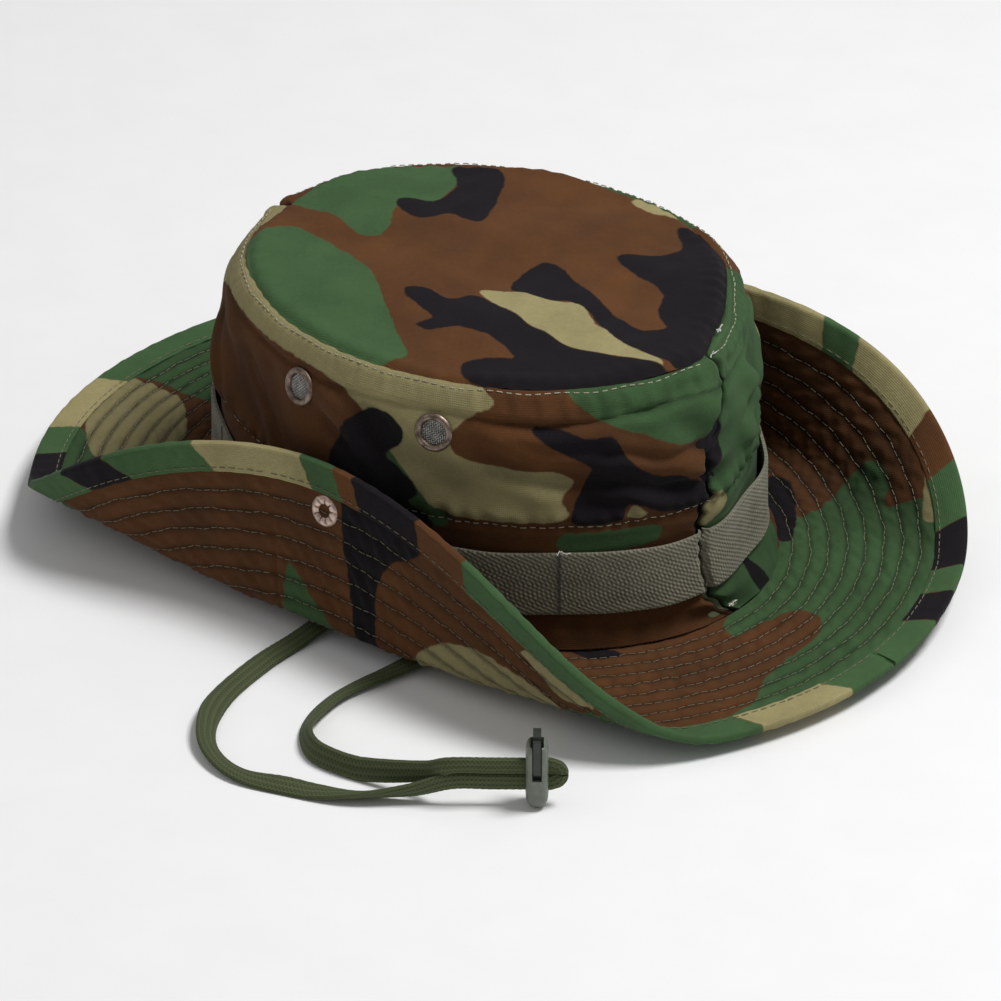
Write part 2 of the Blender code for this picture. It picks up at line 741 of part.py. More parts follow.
def cord_lock(group, cutters):
    """Barrel with a through slot for the cord, and a sprung plunger in its bore."""
    half_length, half_depth = LOCK_LENGTH / 2, LOCK_DEPTH / 2
    barrel = lock_box("cord_lock_barrel", (-half_length, -half_depth, LOCK_BOTTOM),
                      (half_length, half_depth, LOCK_TOP), group, "lock_plastic", 1.8)
    bore = ((-2.1, -3.2, LOCK_BOTTOM + LOCK_WALL), (2.1, 3.2, LOCK_TOP + 1))
    window = ((-half_length - 1, -1.9, -0.9), (half_length + 1, 1.9, 11.5))
    rib_slot = ((-1.5, -half_depth - 1, 5.0), (1.5, -2.0, LOCK_TOP + 1))
    cut(barrel, lock_cutter("lock_bore", *bore, cutters))
    cut(barrel, lock_cutter("lock_window", *window, cutters))
    cut(barrel, lock_cutter("lock_rib_slot", *rib_slot, cutters))

    plunger = lock_box("cord_lock_plunger", (-1.8, -2.9, PLUNGER_FOOT),
                       (1.8, 2.9, LOCK_TOP + PLUNGER_PROUD), group, "lock_plastic", 0.5)
    rib = lock_cutter("lock_rib", (-1.2, -half_depth + 0.3, 5.0 + PRESS_TRAVEL + GAP),
                      (1.2, 0.0, LOCK_TOP + 2.6), cutters)
    join = plunger.modifiers.new("rib", "BOOLEAN")
    join.operation = "UNION"
    join.solver = "EXACT"
    join.object = rib
    cut(plunger, lock_cutter("plunger_window", (-3, -1.7, -0.7), (3, 1.7, 13.0), cutters))

    low, high = LOCK_BOTTOM + LOCK_WALL + GAP + SPRING_WIRE, PLUNGER_FOOT - GAP - SPRING_WIRE
    count = SPRING_TURNS * SPRING_STEPS
    coils = []
    for step in range(count + 1):
        turn = 2 * math.pi * step / SPRING_STEPS
        coils.append((LOCK_X + SPRING_COIL * math.cos(turn), LOCK_Y + SPRING_COIL * math.sin(turn),
                      low + (high - low) * step / count, 1))
    spring = tube("cord_lock_spring", coils, SPRING_WIRE, "steel", group, 1)
    hang((barrel, plunger, spring), "cord_lock_axis", (LOCK_X, LOCK_Y, 0.0), group)


# ---------------------------------------------------------------- the hat

def build_crown(group, cutters):
    crown_top("crown_top", "brown_cloth", group)
    walls = {side: crown_panel("crown_side_" + SIDE_NAME[side], side, "green_cloth", group)
             for side in (-1, 1)}
    tape_offset = -(CLOTH / 2 + GAP + 0.5)
    wall_ring("crown_top_seam_tape", (84.0, 89.0), lambda angle: tape_offset, 0.8, 2 * WALL_STEPS,
              "green_cloth", group)
    wall_ring("sweatband", (SWEATBAND_LOW, 12.0, SWEATBAND_HIGH), lambda angle: tape_offset - 0.1,
              1.0, 2 * WALL_STEPS, "green_cloth", group)
    wall_ring("branch_loop_band", (BAND_LOW, BAND_HIGH), band_offset, BAND_THICKNESS, 64,
              "webbing", group)
    for side, wall in walls.items():
        for place_name, x in zip(("rear", "front"), VENT_X):
            vent("vent_" + SIDE_NAME[side] + "_" + place_name, side, x, wall, group, cutters)
        crown_snap_half(side, wall, group, cutters)


def build_brim(group, cutters):
    middle = PLY / 2 + GAP / 2
    layers = (("upper", middle), ("under", -middle))
    colours = {"front": "brown_cloth", "rear": "green_cloth"}
    for half, colour in colours.items():
        for layer, offset in layers:
            brim_root_ply("brim_" + layer + "_" + half, half, offset, colour, group)
    for side in (-1, 1):
        moving, drilled = [], []
        for half, colour in colours.items():
            for layer, offset in layers:
                name = SIDE_NAME[side] + "_side_" + layer + "_" + half
                moving.append(brim_flap_ply(name, side, half, offset, colour, group))
                if half == "front":
                    drilled.append(moving[-1])
            angles = [side * angle for angle in polar_steps(*flap_range(side, half), (), FLAP_STEPS)]
            name = SIDE_NAME[side] + "_side_binding_" + half
            moving.append(binding(name, angles, "tan_cloth", group))
        moving += flap_snap_half(side, drilled, group, cutters)
        hang(moving, SIDE_NAME[side] + "_side_fold_axis", (0.0, side * HINGE_Y, CUT_Z), group)
    right, left = flap_limits(-1), flap_limits(1)
    clear = GAP / 130.0
    front = polar_steps(-right[0] + clear, left[0] - clear, (), ROOT_STEPS)
    rear = polar_steps(left[1] + clear, 2 * math.pi - right[1] - clear, (), ROOT_STEPS)
    binding("brim_binding_front", front, "green_cloth", group)
    binding("brim_binding_rear", rear, "tan_cloth", group)


def main():
    clear_scene()
    group = make_collection("boonie_hat")
    cutters = make_collection("cutters")
    build_crown(group, cutters)
    build_brim(group, cutters)
    cord_pieces(group)
    cord_lock(group, cutters)


main()
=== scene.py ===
import math

import bpy
import numpy as np
from mathutils import Matrix, Vector


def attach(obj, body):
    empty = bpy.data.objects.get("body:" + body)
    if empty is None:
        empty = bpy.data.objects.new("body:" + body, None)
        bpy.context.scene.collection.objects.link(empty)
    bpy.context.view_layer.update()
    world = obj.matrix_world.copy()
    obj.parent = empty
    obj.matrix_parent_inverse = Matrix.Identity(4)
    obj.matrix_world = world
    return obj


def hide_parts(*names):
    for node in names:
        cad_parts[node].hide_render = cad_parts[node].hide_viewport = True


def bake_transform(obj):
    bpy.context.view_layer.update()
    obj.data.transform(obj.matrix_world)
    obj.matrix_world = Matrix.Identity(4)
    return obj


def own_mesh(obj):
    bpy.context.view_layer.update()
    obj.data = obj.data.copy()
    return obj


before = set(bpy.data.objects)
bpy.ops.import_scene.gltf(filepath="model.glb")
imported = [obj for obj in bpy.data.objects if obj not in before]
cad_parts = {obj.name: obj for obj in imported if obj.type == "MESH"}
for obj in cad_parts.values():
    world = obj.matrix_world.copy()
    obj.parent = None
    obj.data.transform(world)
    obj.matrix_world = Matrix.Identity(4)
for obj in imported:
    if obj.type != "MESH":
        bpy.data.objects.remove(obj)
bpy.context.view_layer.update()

MM = 0.001
TAU = 2 * math.pi
UP = np.array([0.0, 0.0, 1.0])

# The hat's shape, as the CAD states it
WALL_LENGTH, WALL_WIDTH = 97.0, 78.0
BASE_LENGTH, BASE_WIDTH = 102.0, 80.0
TOP_LENGTH, TOP_WIDTH = 87.5, 71.5
TOP_SEAM_Z, SHOULDER_Z, FLARE_HEIGHT = 91.0, 70.0, 7.0
DOME_HEIGHT = 2.5
HEM_FRONT, HEM_REAR, HEM_SIDE = 162.0, 160.0, 147.5
RISE_FRONT, RISE_REAR, RISE_RIGHT, RISE_LEFT, TWIST = 2.0, 6.0, 1.5, 4.0, 2.0
FOLD_RADIUS, FOLD_OPENING, FOLD_SPAN = 5.0, 14.0, 120.0
FOLD_LINE = {-1: (87.5, 16.0, 9.0), 1: (87.0, 22.0, 6.0)}
FOLD_ANGLE = {-1: (99.0, -9.0, 33.0, 60.0), 1: (98.0, -8.6, 56.0, 25.0)}
SIDE_SEAM_X = -15.0
SIDE_NAME = {-1: "right", 1: "left"}

# Cloth and sewing
CLOTH = 0.9
QUILT_ROWS = 8
QUILT_FIRST, QUILT_STEP = 0.085, 0.098      # shares of the brim's width
ROOT_TUCK, HEM_TUCK = 1.2, 0.9               # how far the plies run in under the crown and the binding
BINDING_WIDTH, BINDING_SEAM = 10.0, 8.5      # the tape on each face, and its stitches from the hem
STITCH, STITCH_GAP, THREAD = 2.9, 0.35, 0.13
TOP_CREASE_Z, TOP_STITCH_Z = 83.0, 90.2
TUCK_Z = 45.5                                # sewn fold in the wall above the webbing
TURN_RADIUS = 88.0                           # the wall's mean radius, for widths given as turns

# Trim
BAND_LOW, BAND_HIGH, BAND_BOW, BAND_TACKS = 14.0, 36.5, 2.4, 8
BAND_BED, BAND_THICK = CLOTH / 2 + 0.3, 1.3  # where the webbing's back lies, and its thickness
ARC_PER_DEGREE = 1.53                        # millimetres along the wall for each degree
RIB = 1.5                                    # pitch of the webbing's ribs
VENT_X, VENT_Z = (-20.5, 32.0), 76.0
SNAP_X, SNAP_Z = -1.0, 42.0
RING_SIZE = 1.2                              # the pronged ring's size beside its outline's

# Chin cord and its lock
CORD_Z, CORD_HINGE_Y = -3.75, -83.9
CORD_HALF_WIDTH, CORD_HALF_HEIGHT = 3.9, 1.15
GROUND_Z = -6.15
LOCK_X, LOCK_Y, LOCK_TURN = 114.2, -126.7, math.radians(37.0)
LOCK_BOTTOM, LOCK_TOP = -5.9, 16.9
FLOOR_Z = -6.2
LOWER_RUN_Z, UPPER_RUN_Z, STRAIGHT_RUN = 2.4, 8.2, 27.0


# ---------------------------------------------------------------- small numeric helpers

def smooth(low, high, value):
    share = np.clip((value - low) / (high - low), 0.0, 1.0)
    return share * share * (3 - 2 * share)


def bell(value, width):
    return np.exp(-(value / width) ** 2)


def ripple(u, v, size, seed, heading=None, spread=0.3, count=9):
    """Smooth seeded waves about size long, mostly between -1 and 1."""
    rng = np.random.default_rng(seed)
    total = np.zeros(np.broadcast(u, v).shape)
    for _ in range(count):
        turn = rng.uniform(0, TAU) if heading is None else heading + rng.normal(0, spread)
        pace = TAU / (size * rng.uniform(0.75, 1.5))
        total = total + np.sin(pace * (u * math.cos(turn) + v * math.sin(turn)) + rng.uniform(0, TAU))
    return total / math.sqrt(count)


def unit(vectors):
    return vectors / np.linalg.norm(vectors, axis=-1, keepdims=True)


# ---------------------------------------------------------------- shape of the hat

def wall_axes(z):
    shoulder = np.clip((z - SHOULDER_Z) / (TOP_SEAM_Z - SHOULDER_Z), 0.0, 1.0) ** 2
    flare = np.exp(-z / FLARE_HEIGHT)
    length = WALL_LENGTH + (BASE_LENGTH - WALL_LENGTH) * flare - (WALL_LENGTH - TOP_LENGTH) * shoulder
    width = WALL_WIDTH + (BASE_WIDTH - WALL_WIDTH) * flare - (WALL_WIDTH - TOP_WIDTH) * shoulder
    return length, width


def draw_in(angle, z):
    """How far the soft crown is drawn in from its oval, in mm: more at the front left, beside the
    front seam, which stands out as a corner, and a little at the top of the rear."""
    turn = np.degrees(np.angle(np.exp(1j * angle)))
    above_root = smooth(4.0, 17.0, z)
    front_left = smooth(-8.0, 14.0, turn) * (1 - smooth(29.0, 66.0, turn))
    rear = bell(np.degrees(np.angle(np.exp(1j * (angle - math.radians(190))))), 24.0)
    corner = bell(turn + 7.0, 9.0)
    high = smooth(60.0, 89.0, z)
    return above_root * (front_left * (4.6 + 2.4 * high) + 1.8 * rear * high - 0.9 * corner)


def wall_surface(angle, z, offset=0.0):
    """Points on the crown wall, moved outward by offset."""
    offset = offset - draw_in(angle, z)
    length, width = wall_axes(z)
    flat = 0.0 * angle * z
    point = np.stack([length * np.cos(angle), width * np.sin(angle), z + flat], -1)
    around = np.stack([-length * np.sin(angle), width * np.cos(angle), flat], -1)
    (high_length, high_width), (low_length, low_width) = wall_axes(z + 0.5), wall_axes(z - 0.5)
    up = np.stack([(high_length - low_length) * np.cos(angle),
                   (high_width - low_width) * np.sin(angle), flat + 1.0], -1)
    normal = unit(np.cross(around, up))
    return point + normal * np.asarray(offset + flat)[..., None], normal


def base_radius(polar):
    return 1.0 / np.hypot(np.cos(polar) / BASE_LENGTH, np.sin(polar) / BASE_WIDTH)


def hem_radius(polar, inset=0.0):
    length = np.where(np.cos(polar) > 0, HEM_FRONT, HEM_REAR)
    return 1.0 / np.hypot(np.cos(polar) / (length - inset), np.sin(polar) / (HEM_SIDE - inset))


def brim_radius(polar, share):
    """Radius on the flat pattern at a share of the plies' width."""
    inner = base_radius(polar) - ROOT_TUCK
    return inner + (hem_radius(polar, HEM_TUCK) - inner) * share


def width_share(polar, radius):
    inner = base_radius(polar) - ROOT_TUCK
    return (radius - inner) / (hem_radius(polar, HEM_TUCK) - inner)


def hem_rise(polar):
    end = np.where(np.cos(polar) > 0, RISE_FRONT, RISE_REAR)
    side = np.where(np.sin(polar) < 0, RISE_RIGHT, RISE_LEFT)
    return end * np.cos(polar) ** 2 + side * np.sin(polar) ** 2 + TWIST * np.sin(2 * polar)


def side_value(y, table, index):
    return np.where(y < 0, table[-1][index], table[1][index])


def brim_middle(polar, radius):
    """Middle of the brim's thickness at a point of its flat pattern, after folding."""
    x, y = radius * np.cos(polar), radius * np.sin(polar)
    inner, outer = base_radius(polar), hem_radius(polar)
    z = hem_rise(polar) * (radius - inner) / (outer - inner)
    share = x / FOLD_SPAN
    drop = np.where(x > 0, side_value(y, FOLD_LINE, 1), side_value(y, FOLD_LINE, 2))
    start = side_value(y, FOLD_LINE, 0) - drop * share ** 2
    fall = np.where(x > 0, side_value(y, FOLD_ANGLE, 2), side_value(y, FOLD_ANGLE, 3))
    angle = np.radians(side_value(y, FOLD_ANGLE, 0) + side_value(y, FOLD_ANGLE, 1) * share
                       - fall * share ** 2)
    bend = FOLD_RADIUS + FOLD_OPENING * share ** 2
    past = np.maximum(np.abs(y) - start, 0.0)
    turned = np.minimum(past / bend, angle)
    straight = past - turned * bend
    across = np.minimum(np.abs(y), start) + bend * np.sin(turned) + straight * np.cos(angle)
    lift = bend * (1 - np.cos(turned)) + straight * np.sin(angle)
    return np.stack([x, np.where(y < 0, -across, across), z + lift], -1)


def brim_surface(polar, radius):
    """Points on the brim's middle, and the normals of its upper face."""
    step = 0.05
    around = brim_middle(polar + step / radius, radius) - brim_middle(polar - step / radius, radius)
    outward = brim_middle(polar, radius + step) - brim_middle(polar, radius - step)
    return brim_middle(polar, radius), unit(np.cross(outward, around))


def waviness(polar, share):
    """Slow lift and sag of the brim's free cloth, none at the crown, on both plies alike."""
    return share ** 2 * 1.5 * ripple(120 * np.cos(polar), 120 * np.sin(polar), 95, 55)


def wavy_brim(polar, radius, share):
    """Points on the brim's middle with its waviness, and the normals of its upper face."""
    middle, normal = brim_surface(polar, radius)
    return middle + normal * waviness(polar, share)[..., None], normal


def wall_stand(side, x, z):
    """Matrix that stands on one side's wall at (x, z), facing out."""
    angle = side * math.acos(x / wall_axes(z)[0])
    return frame_matrix(*wall_surface(np.array(angle), np.array(z)))


# ---------------------------------------------------------------- mesh helpers

def make_piece(name, points, faces, finish, body="hat", fields=None, sharp=50.0):
    """One object from points in millimetres, shaded smooth, riding on a body."""
    points = np.asarray(points, float).reshape(-1, 3)
    mesh = bpy.data.meshes.new(name)
    mesh.from_pydata((points * MM).tolist(), [], faces)
    for key, values in (fields or {}).items():
        wide = np.ndim(values) > 1
        layer = mesh.attributes.new(key, "FLOAT_VECTOR" if wide else "FLOAT", "POINT")
        layer.data.foreach_set("vector" if wide else "value", np.asarray(values, np.float32).ravel())
    mesh.materials.append(finish)
    mesh.update()
    mesh.shade_smooth()
    mesh.set_sharp_from_angle(angle=math.radians(sharp))
    item = bpy.data.objects.new(name, mesh)
    bpy.context.scene.collection.objects.link(item)
    if body:
        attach(item, body)
    return item


def cloth_place(along, across):
    """Cloth coordinates in metres from two fields in millimetres."""
    along, across = np.broadcast_arrays(along, across)
    return np.stack([along, across, 0.0 * along], -1) * MM


def cut_tool(rings, matrix):
    """A closed body to cut or join with, from rings in its own axes."""
    points, faces = tube_part(rings)
    mesh = bpy.data.meshes.new("tool")
    mesh.from_pydata((place_points(points, matrix) * MM).tolist(), [], faces)
    tool = bpy.data.objects.new("tool", mesh)
    bpy.context.scene.collection.objects.link(tool)
    return tool


def apply_boolean(item, tool, operation):
    """Cuts or joins with a tool, which is then removed, and keeps the result as the mesh."""
    step = item.modifiers.new("cut", "BOOLEAN")
    step.operation, step.solver, step.object = operation, "EXACT", tool
    graph = bpy.context.evaluated_depsgraph_get()
    mesh = bpy.data.meshes.new_from_object(item.evaluated_get(graph))
    item.modifiers.remove(step)
    item.data = mesh
    bpy.data.objects.remove(tool)


def join_parts(parts):
    """Several (points, faces) parts as one."""
    points, faces, count = [], [], 0
    for some_points, some_faces in parts:
        points.append(np.asarray(some_points).reshape(-1, 3))
        faces += [tuple(k + count for k in face) for face in some_faces]
        count += len(points[-1])
    return np.concatenate(points), faces


def grid_faces(rows, columns, loop_rows=False, loop_columns=False, first=0):
    i = np.arange(rows if loop_rows else rows - 1)[:, None]
    j = np.arange(columns if loop_columns else columns - 1)[None, :]
    below, beside = (i + 1) % rows, (j + 1) % columns
    corners = (i * columns + j, below * columns + j, below * columns + beside, i * columns + beside)
    return np.stack(corners, -1).reshape(-1, 4) + first


def shell_part(front, back, loop=False):
    """Closed cloth between two grids of points, front being the outward one."""
    rows, columns = front.shape[:2]
    half = rows * columns
    faces = [grid_faces(rows, columns, loop), grid_faces(rows, columns, loop, first=half)[:, ::-1]]
    i = np.arange(rows if loop else rows - 1)
    after = (i + 1) % rows
    for j, turned in ((0, False), (columns - 1, True)):
        edge = np.stack([after * columns + j, i * columns + j, i * columns + j + half,
                         after * columns + j + half], -1)
        faces.append(edge[:, ::-1] if turned else edge)
    if not loop:
        j = np.arange(columns - 1)
        for i, turned in ((0, False), (rows - 1, True)):
            edge = np.stack([i * columns + j, i * columns + j + 1, i * columns + j + 1 + half,
                             i * columns + j + half], -1)
            faces.append(edge[:, ::-1] if turned else edge)
    faces = np.concatenate(faces)
    points = np.concatenate([front.reshape(-1, 3), back.reshape(-1, 3)])
    return points, [tuple(face) for face in outward(points, faces).tolist()]


def outward(points, faces):
    """The quads turned so that their closed body faces out."""
    a, b, c, d = (points[faces[:, k]] for k in range(4))
    volume = np.einsum("ij,ij->i", a, np.cross(b, c) + np.cross(c, d)).sum()
    return faces if volume > 0 else faces[:, ::-1]


def tube_part(rings):
    """Closed tube through rings[i, k], with flat end caps."""
    count, around = rings.shape[:2]
    points = rings.reshape(-1, 3)
    faces = outward(points, grid_faces(count, around, loop_columns=True))
    kept = [tuple(face) for face in faces.tolist()]
    first, last = tuple(range(around)), tuple(range((count - 1) * around, count * around))
    flipped = (faces[0][1] - faces[0][0]) % around == 0
    kept.append(first if flipped else first[::-1])
    kept.append(last[::-1] if flipped else last)
    return points, kept


def along_path(points):
    steps = np.linalg.norm(np.diff(points, axis=0), axis=1)
    return np.concatenate([[0.0], np.cumsum(steps)])


def resample(values, distance, wanted):
    return np.stack([np.interp(wanted, distance, values[:, k]) for k in range(values.shape[1])], -1)


def stitch_part(path, normals, length=STITCH, gap=STITCH_GAP, radius=THREAD, sides=5, lift=0.1):
    """A row of separate stitches lying on a path, each dipping into the cloth at its ends."""
    distance = along_path(path)
    starts = np.arange(gap, distance[-1] - length, length + gap)
    stations = (0.0, 0.14, 0.86, 1.0)
    sizes, heights = (0.45, 1.0, 1.0, 0.45), (-0.22, lift, lift, -0.22)
    rings = []
    turns = np.arange(sides) / sides * TAU
    for share, size, height in zip(stations, sizes, heights):
        middle = resample(path, distance, starts + share * length)
        normal = unit(resample(normals, distance, starts + share * length))
        ahead = unit(resample(path, distance, starts + share * length + 0.3)
                     - resample(path, distance, starts + share * length - 0.3))
        across = np.cross(ahead, normal)
        spin = (across[:, None] * np.cos(turns)[None, :, None]
                + normal[:, None] * np.sin(turns)[None, :, None])
        rings.append(middle[:, None] + normal[:, None] * height + spin * radius * size)
    points = np.stack(rings, 1)
    pattern = grid_faces(len(stations), sides, loop_columns=True).tolist()
    if len(points):
        one = points[0].reshape(-1, 3)
        pattern = outward(one - one.mean(0), np.array(pattern)).tolist()
    ends = [list(range(sides)), list(range((len(stations) - 1) * sides, len(stations) * sides))]
    turned = pattern[0][1] - pattern[0][0] in (sides, -sides)
    pattern += [ends[0] if turned else ends[0][::-1], ends[1][::-1] if turned else ends[1]]
    each = len(stations) * sides
    faces = [tuple(k + each * index for k in face) for index in range(len(points)) for face in pattern]
    return points.reshape(-1, 3), faces


def turned_part(profile, matrix, steps=48):
    """Closed ring turned from a closed outline of (radius, height) points."""
    turns = np.arange(steps) / steps * TAU
    rings = np.array([[(r * math.cos(t), r * math.sin(t), h) for r, h in profile] for t in turns])
    points = rings.reshape(-1, 3)
    faces = outward(points, grid_faces(steps, len(profile), True, True))
    return place_points(points, matrix), [tuple(face) for face in faces.tolist()]


def place_points(points, matrix):
    grid = np.array(matrix)
    return np.asarray(points) @ grid[:3, :3].T + grid[:3, 3]


def frame_matrix(centre, axis):
    """Stand local +Z on a point, along an axis."""
    turn = Vector(axis).to_track_quat("Z", "X")
    return Matrix.Translation(Vector(centre)) @ turn.to_matrix().to_4x4()


def thread_tube(path, normals, radius, sides=6):
    """Thread of round section along a path."""
    ahead = unit(np.gradient(path, axis=0))
    across = unit(np.cross(ahead, normals))
    up = np.cross(across, ahead)
    turns = np.arange(sides) / sides * TAU
    return tube_part(path[:, None] + radius * (across[:, None] * np.cos(turns)[None, :, None]
                                               + up[:, None] * np.sin(turns)[None, :, None]))


def smooth_path(rows, pieces):
    """Catmull-Rom curve through rows of any number of values."""
    rows = [np.array(row, float) for row in rows]
    rows = [2 * rows[0] - rows[1]] + rows + [2 * rows[-1] - rows[-2]]
    path = []
    for a, b, c, d in zip(rows, rows[1:], rows[2:], rows[3:]):
        for step in range(pieces):
            t = step / pieces
            path.append(0.5 * (2 * b + (c - a) * t + (2 * a - 5 * b + 4 * c - d) * t * t
                               + (3 * b - a - 3 * c + d) * t ** 3))
    path.append(rows[-2])
    return np.array(path)


# ---------------------------------------------------------------- printed camouflage

# Patches of each panel as the few corners of each outline; every outline is rounded when it is used.
# Crown top and brim: (x, y) of the flat pattern.  Wall: (degrees round from the front, height).
TOP_PRINT = {
    "green": [[(-95, -3), (-84, 25), (-70, 50), (-56, 54), (-45, 38), (-42, 24), (-52, 15), (-42, -4),
               (-50, -9), (-62, -3)],
              [(-75, -16), (-52, -18), (-30, -27), (0, -52), (16, -64), (0, -78), (-50, -74), (-78, -45)]],
    "tan": [[(6, -18), (16, -11), (28, -9), (38, -3), (48, -10), (62, -15), (86, -18), (72, -22),
             (55, -29), (36, -26), (16, -22)],
            [(20, 78), (4, 66), (18, 62), (34, 70)]],
    "black": [[(-58, 50), (-44, 58), (-36, 54), (-26, 34), (-20, 20), (-34, 21), (-38, 11), (-50, 11),
               (-53, 17), (-42, 24), (-45, 40)],
              [(27, 62), (41, 50), (39, 40), (26, 30), (36, 24), (55, 20), (60, 8), (70, 2), (60, -6),
               (44, 1), (28, 8), (11, 14), (10, 4), (13, -11), (27, -10), (34, -4), (44, -6), (60, -16),
               (90, -18), (94, 20), (62, 52), (44, 64)],
              [(-15, -30), (-11, -26), (4, -27), (8, -20), (36, -26), (56, -29), (74, -21), (90, -18),
               (78, -44), (60, -58), (36, -64), (29, -56), (37, -47), (44, -44), (30, -39), (18, -39),
               (10, -47), (2, -46), (6, -38), (-8, -35)]],
}
RIGHT_WALL_PRINT = {
    "green": [[(-44, 99), (-41, 88), (-34, 81), (-27, 77), (-19, 71), (-8, 68), (6, 72), (6, 99)],
              [(-84, 68), (-77, 69), (-73, 60), (-69, 52), (-67, 43), (-73, 42), (-77, 50)],
              [(-45, 44), (-38, 43.5), (-22, 44), (-22, 36), (-46, 36)],
              [(-7, 47), (4, 47), (4, 34), (-10, 38)],
              [(-190, 84), (-172, 74), (-164, 58), (-170, 48), (-190, 50)]],
    "tan": [[(-190, 40), (-172, 56), (-160, 70), (-148, 80), (-135, 84.5), (-105, 84.5), (-94, 83.5),
             (-88, 79), (-85, 71), (-80, 64), (-74, 56), (-68, 47), (-42, 48), (-45, 57), (-41, 61),
             (-46, 66), (-54, 65), (-61, 67), (-66, 69), (-68, 76), (-63, 83), (-57, 87), (-61, 92),
             (-66, 99), (-190, 99)],
            [(-31, 47), (-29, 53), (-25, 48)]],
    "black": [[(-94, 57), (-91, 70), (-86, 78), (-81, 79), (-77, 74), (-78, 68), (-82, 63), (-76, 59),
               (-73, 54), (-76, 50), (-70, 43), (-72, 37), (-95, 37)],
              [(-52, 81), (-45, 81), (-39, 77), (-33, 78), (-30, 68), (-24, 61), (-17, 60), (-13, 54),
               (5, 50), (5, 45), (-16, 45), (-22, 48), (-30, 54), (-32, 46), (-43, 46), (-42, 54),
               (-39, 62), (-38, 68), (-45, 73)]],
}
LEFT_WALL_PRINT = {
    "green": [[(-20, 99), (-20, -4), (24, -4), (44, 20), (46, 60), (52, 99)],
              [(70, 99), (66, 80), (82, 66), (98, 72), (104, 99)],
              [(116, 40), (128, 58), (148, 60), (160, 44), (146, 30), (126, 26)]],
    "tan": [[(-16, 50), (-6, 49), (-2, 44), (-8, 38), (-16, 36)],
            [(44, 70), (58, 76), (74, 62), (90, 56), (84, 48), (64, 52), (48, 58)],
            [(150, 90), (168, 80), (190, 82), (190, 70), (166, 68), (148, 78)]],
    "black": [[(-9, 80), (-6, 78), (-4, 68), (-5, 58), (-9, 52), (-12, 56), (-10, 68)],
              [(7, 16), (10, 12), (15, 2), (13, -3), (9, 0), (7, 8)],
              [(50, 60), (56, 68), (62, 62), (66, 46), (78, 42), (74, 32), (60, 34), (52, 44)],
              [(98, 90), (112, 86), (118, 68), (132, 70), (138, 84), (150, 76), (140, 60), (118, 54),
               (100, 66)]],
}
UPPER_PRINT = {
    "green": [[(84, 2), (98, -1), (104, -14), (111, -17), (113, 0), (117, 11), (126, 11), (133, 0),
               (132, -28), (140, -46), (137, -62), (150, -80), (175, -70), (175, 70), (140, 84),
               (118, 84), (104, 76), (102, 88), (92, 94), (84, 84), (86, 66), (80, 54), (84, 30)],
              [(-175, 70), (-120, 60), (-108, 30), (-112, 6), (-126, -3), (-150, -3), (-160, -40),
               (-175, -60)],
              [(-98, -62), (-102, -46), (-124, -57), (-146, -42), (-160, -52), (-136, -74), (-112, -76)],
              [(-60, 128), (-30, 118), (4, 124), (8, 142), (-30, 152), (-64, 146)]],
    "tan": [[(-151, -8), (-140, -6), (-128, -7), (-116, -20), (-108, -34), (-112, -50), (-124, -60),
             (-140, -46), (-152, -26)],
            [(113, 94), (120, 91), (128, 76), (123, 74), (117, 84)],
            [(-20, -118), (10, -112), (36, -118), (24, -130), (-10, -132)]],
    "black": [[(58, -46), (76, -48), (90, -45), (82, -56), (64, -54)],
              [(57, 77), (68, 76), (84, 56), (90, 43), (82, 44), (66, 62)],
              [(-132, 50), (-118, 36), (-104, 38), (-96, 56), (-110, 74), (-124, 70)],
              [(-118, 2), (-110, 0), (-98, -14), (-98, -22), (-108, -14)],
              [(-60, -96), (-40, -90), (-20, -100), (-34, -112), (-52, -110)]],
}
UNDER_PRINT = {
    "green": [[(-15, -112), (-9, -106), (0, -98), (9, -90), (17, -82), (14, -60), (-15, -60)],
              [(92, -88), (112, -92), (140, -70), (170, -60), (170, -10), (140, -6), (120, -40),
               (96, -62)],
              [(-150, -84), (-118, -92), (-104, -96), (-98, -80), (-116, -66), (-150, -50)],
              [(-60, 100), (-20, 90), (24, 96), (40, 120), (10, 136), (-40, 128)],
              [(90, 30), (118, 20), (150, 34), (146, 74), (110, 80), (92, 60)]],
    "tan": [[(36, -72), (38, -94), (50, -103), (66, -105), (86, -98), (97, -88), (80, -70)],
            [(82, -112), (96, -111), (112, -93), (98, -94), (90, -104)],
            [(-150, 10), (-132, 22), (-116, 18), (-112, 0), (-128, -12), (-148, -8)],
            [(60, 110), (78, 118), (100, 104), (92, 92), (72, 94)]],
    "black": [[(4, -150), (7, -126), (13, -105), (16, -84), (24, -84), (22, -112), (28, -124),
               (39, -129), (46, -137), (50, -150)],
              [(-130, 60), (-108, 66), (-92, 50), (-100, 34), (-120, 40)],
              [(110, -10), (128, 2), (150, -4), (148, -24), (124, -22)]],
}

# Pieces of the binding's cloth: where each ends, in degrees round the hem from the front, the
# wearer's right side being negative
BINDING_PRINT = ((-173, "green"), (-158, "tan"), (-150.5, "green"), (-141, "black"), (-129, "green"),
                 (-121.5, "black"), (-109, "green"), (-94.5, "tan"), (-89.5, "green"), (-86.5, "brown"),
                 (-76, "black"), (-68, "brown"), (-22, "green"), (-8, "tan"), (11, "green"),
                 (18, "black"), (24, "green"), (33, "black"), (42, "green"), (49.5, "brown"),
                 (62, "tan"), (67, "green"), (79, "tan"), (94, "green"), (112, "brown"),
                 (128, "green"), (142, "black"), (200, "green"))

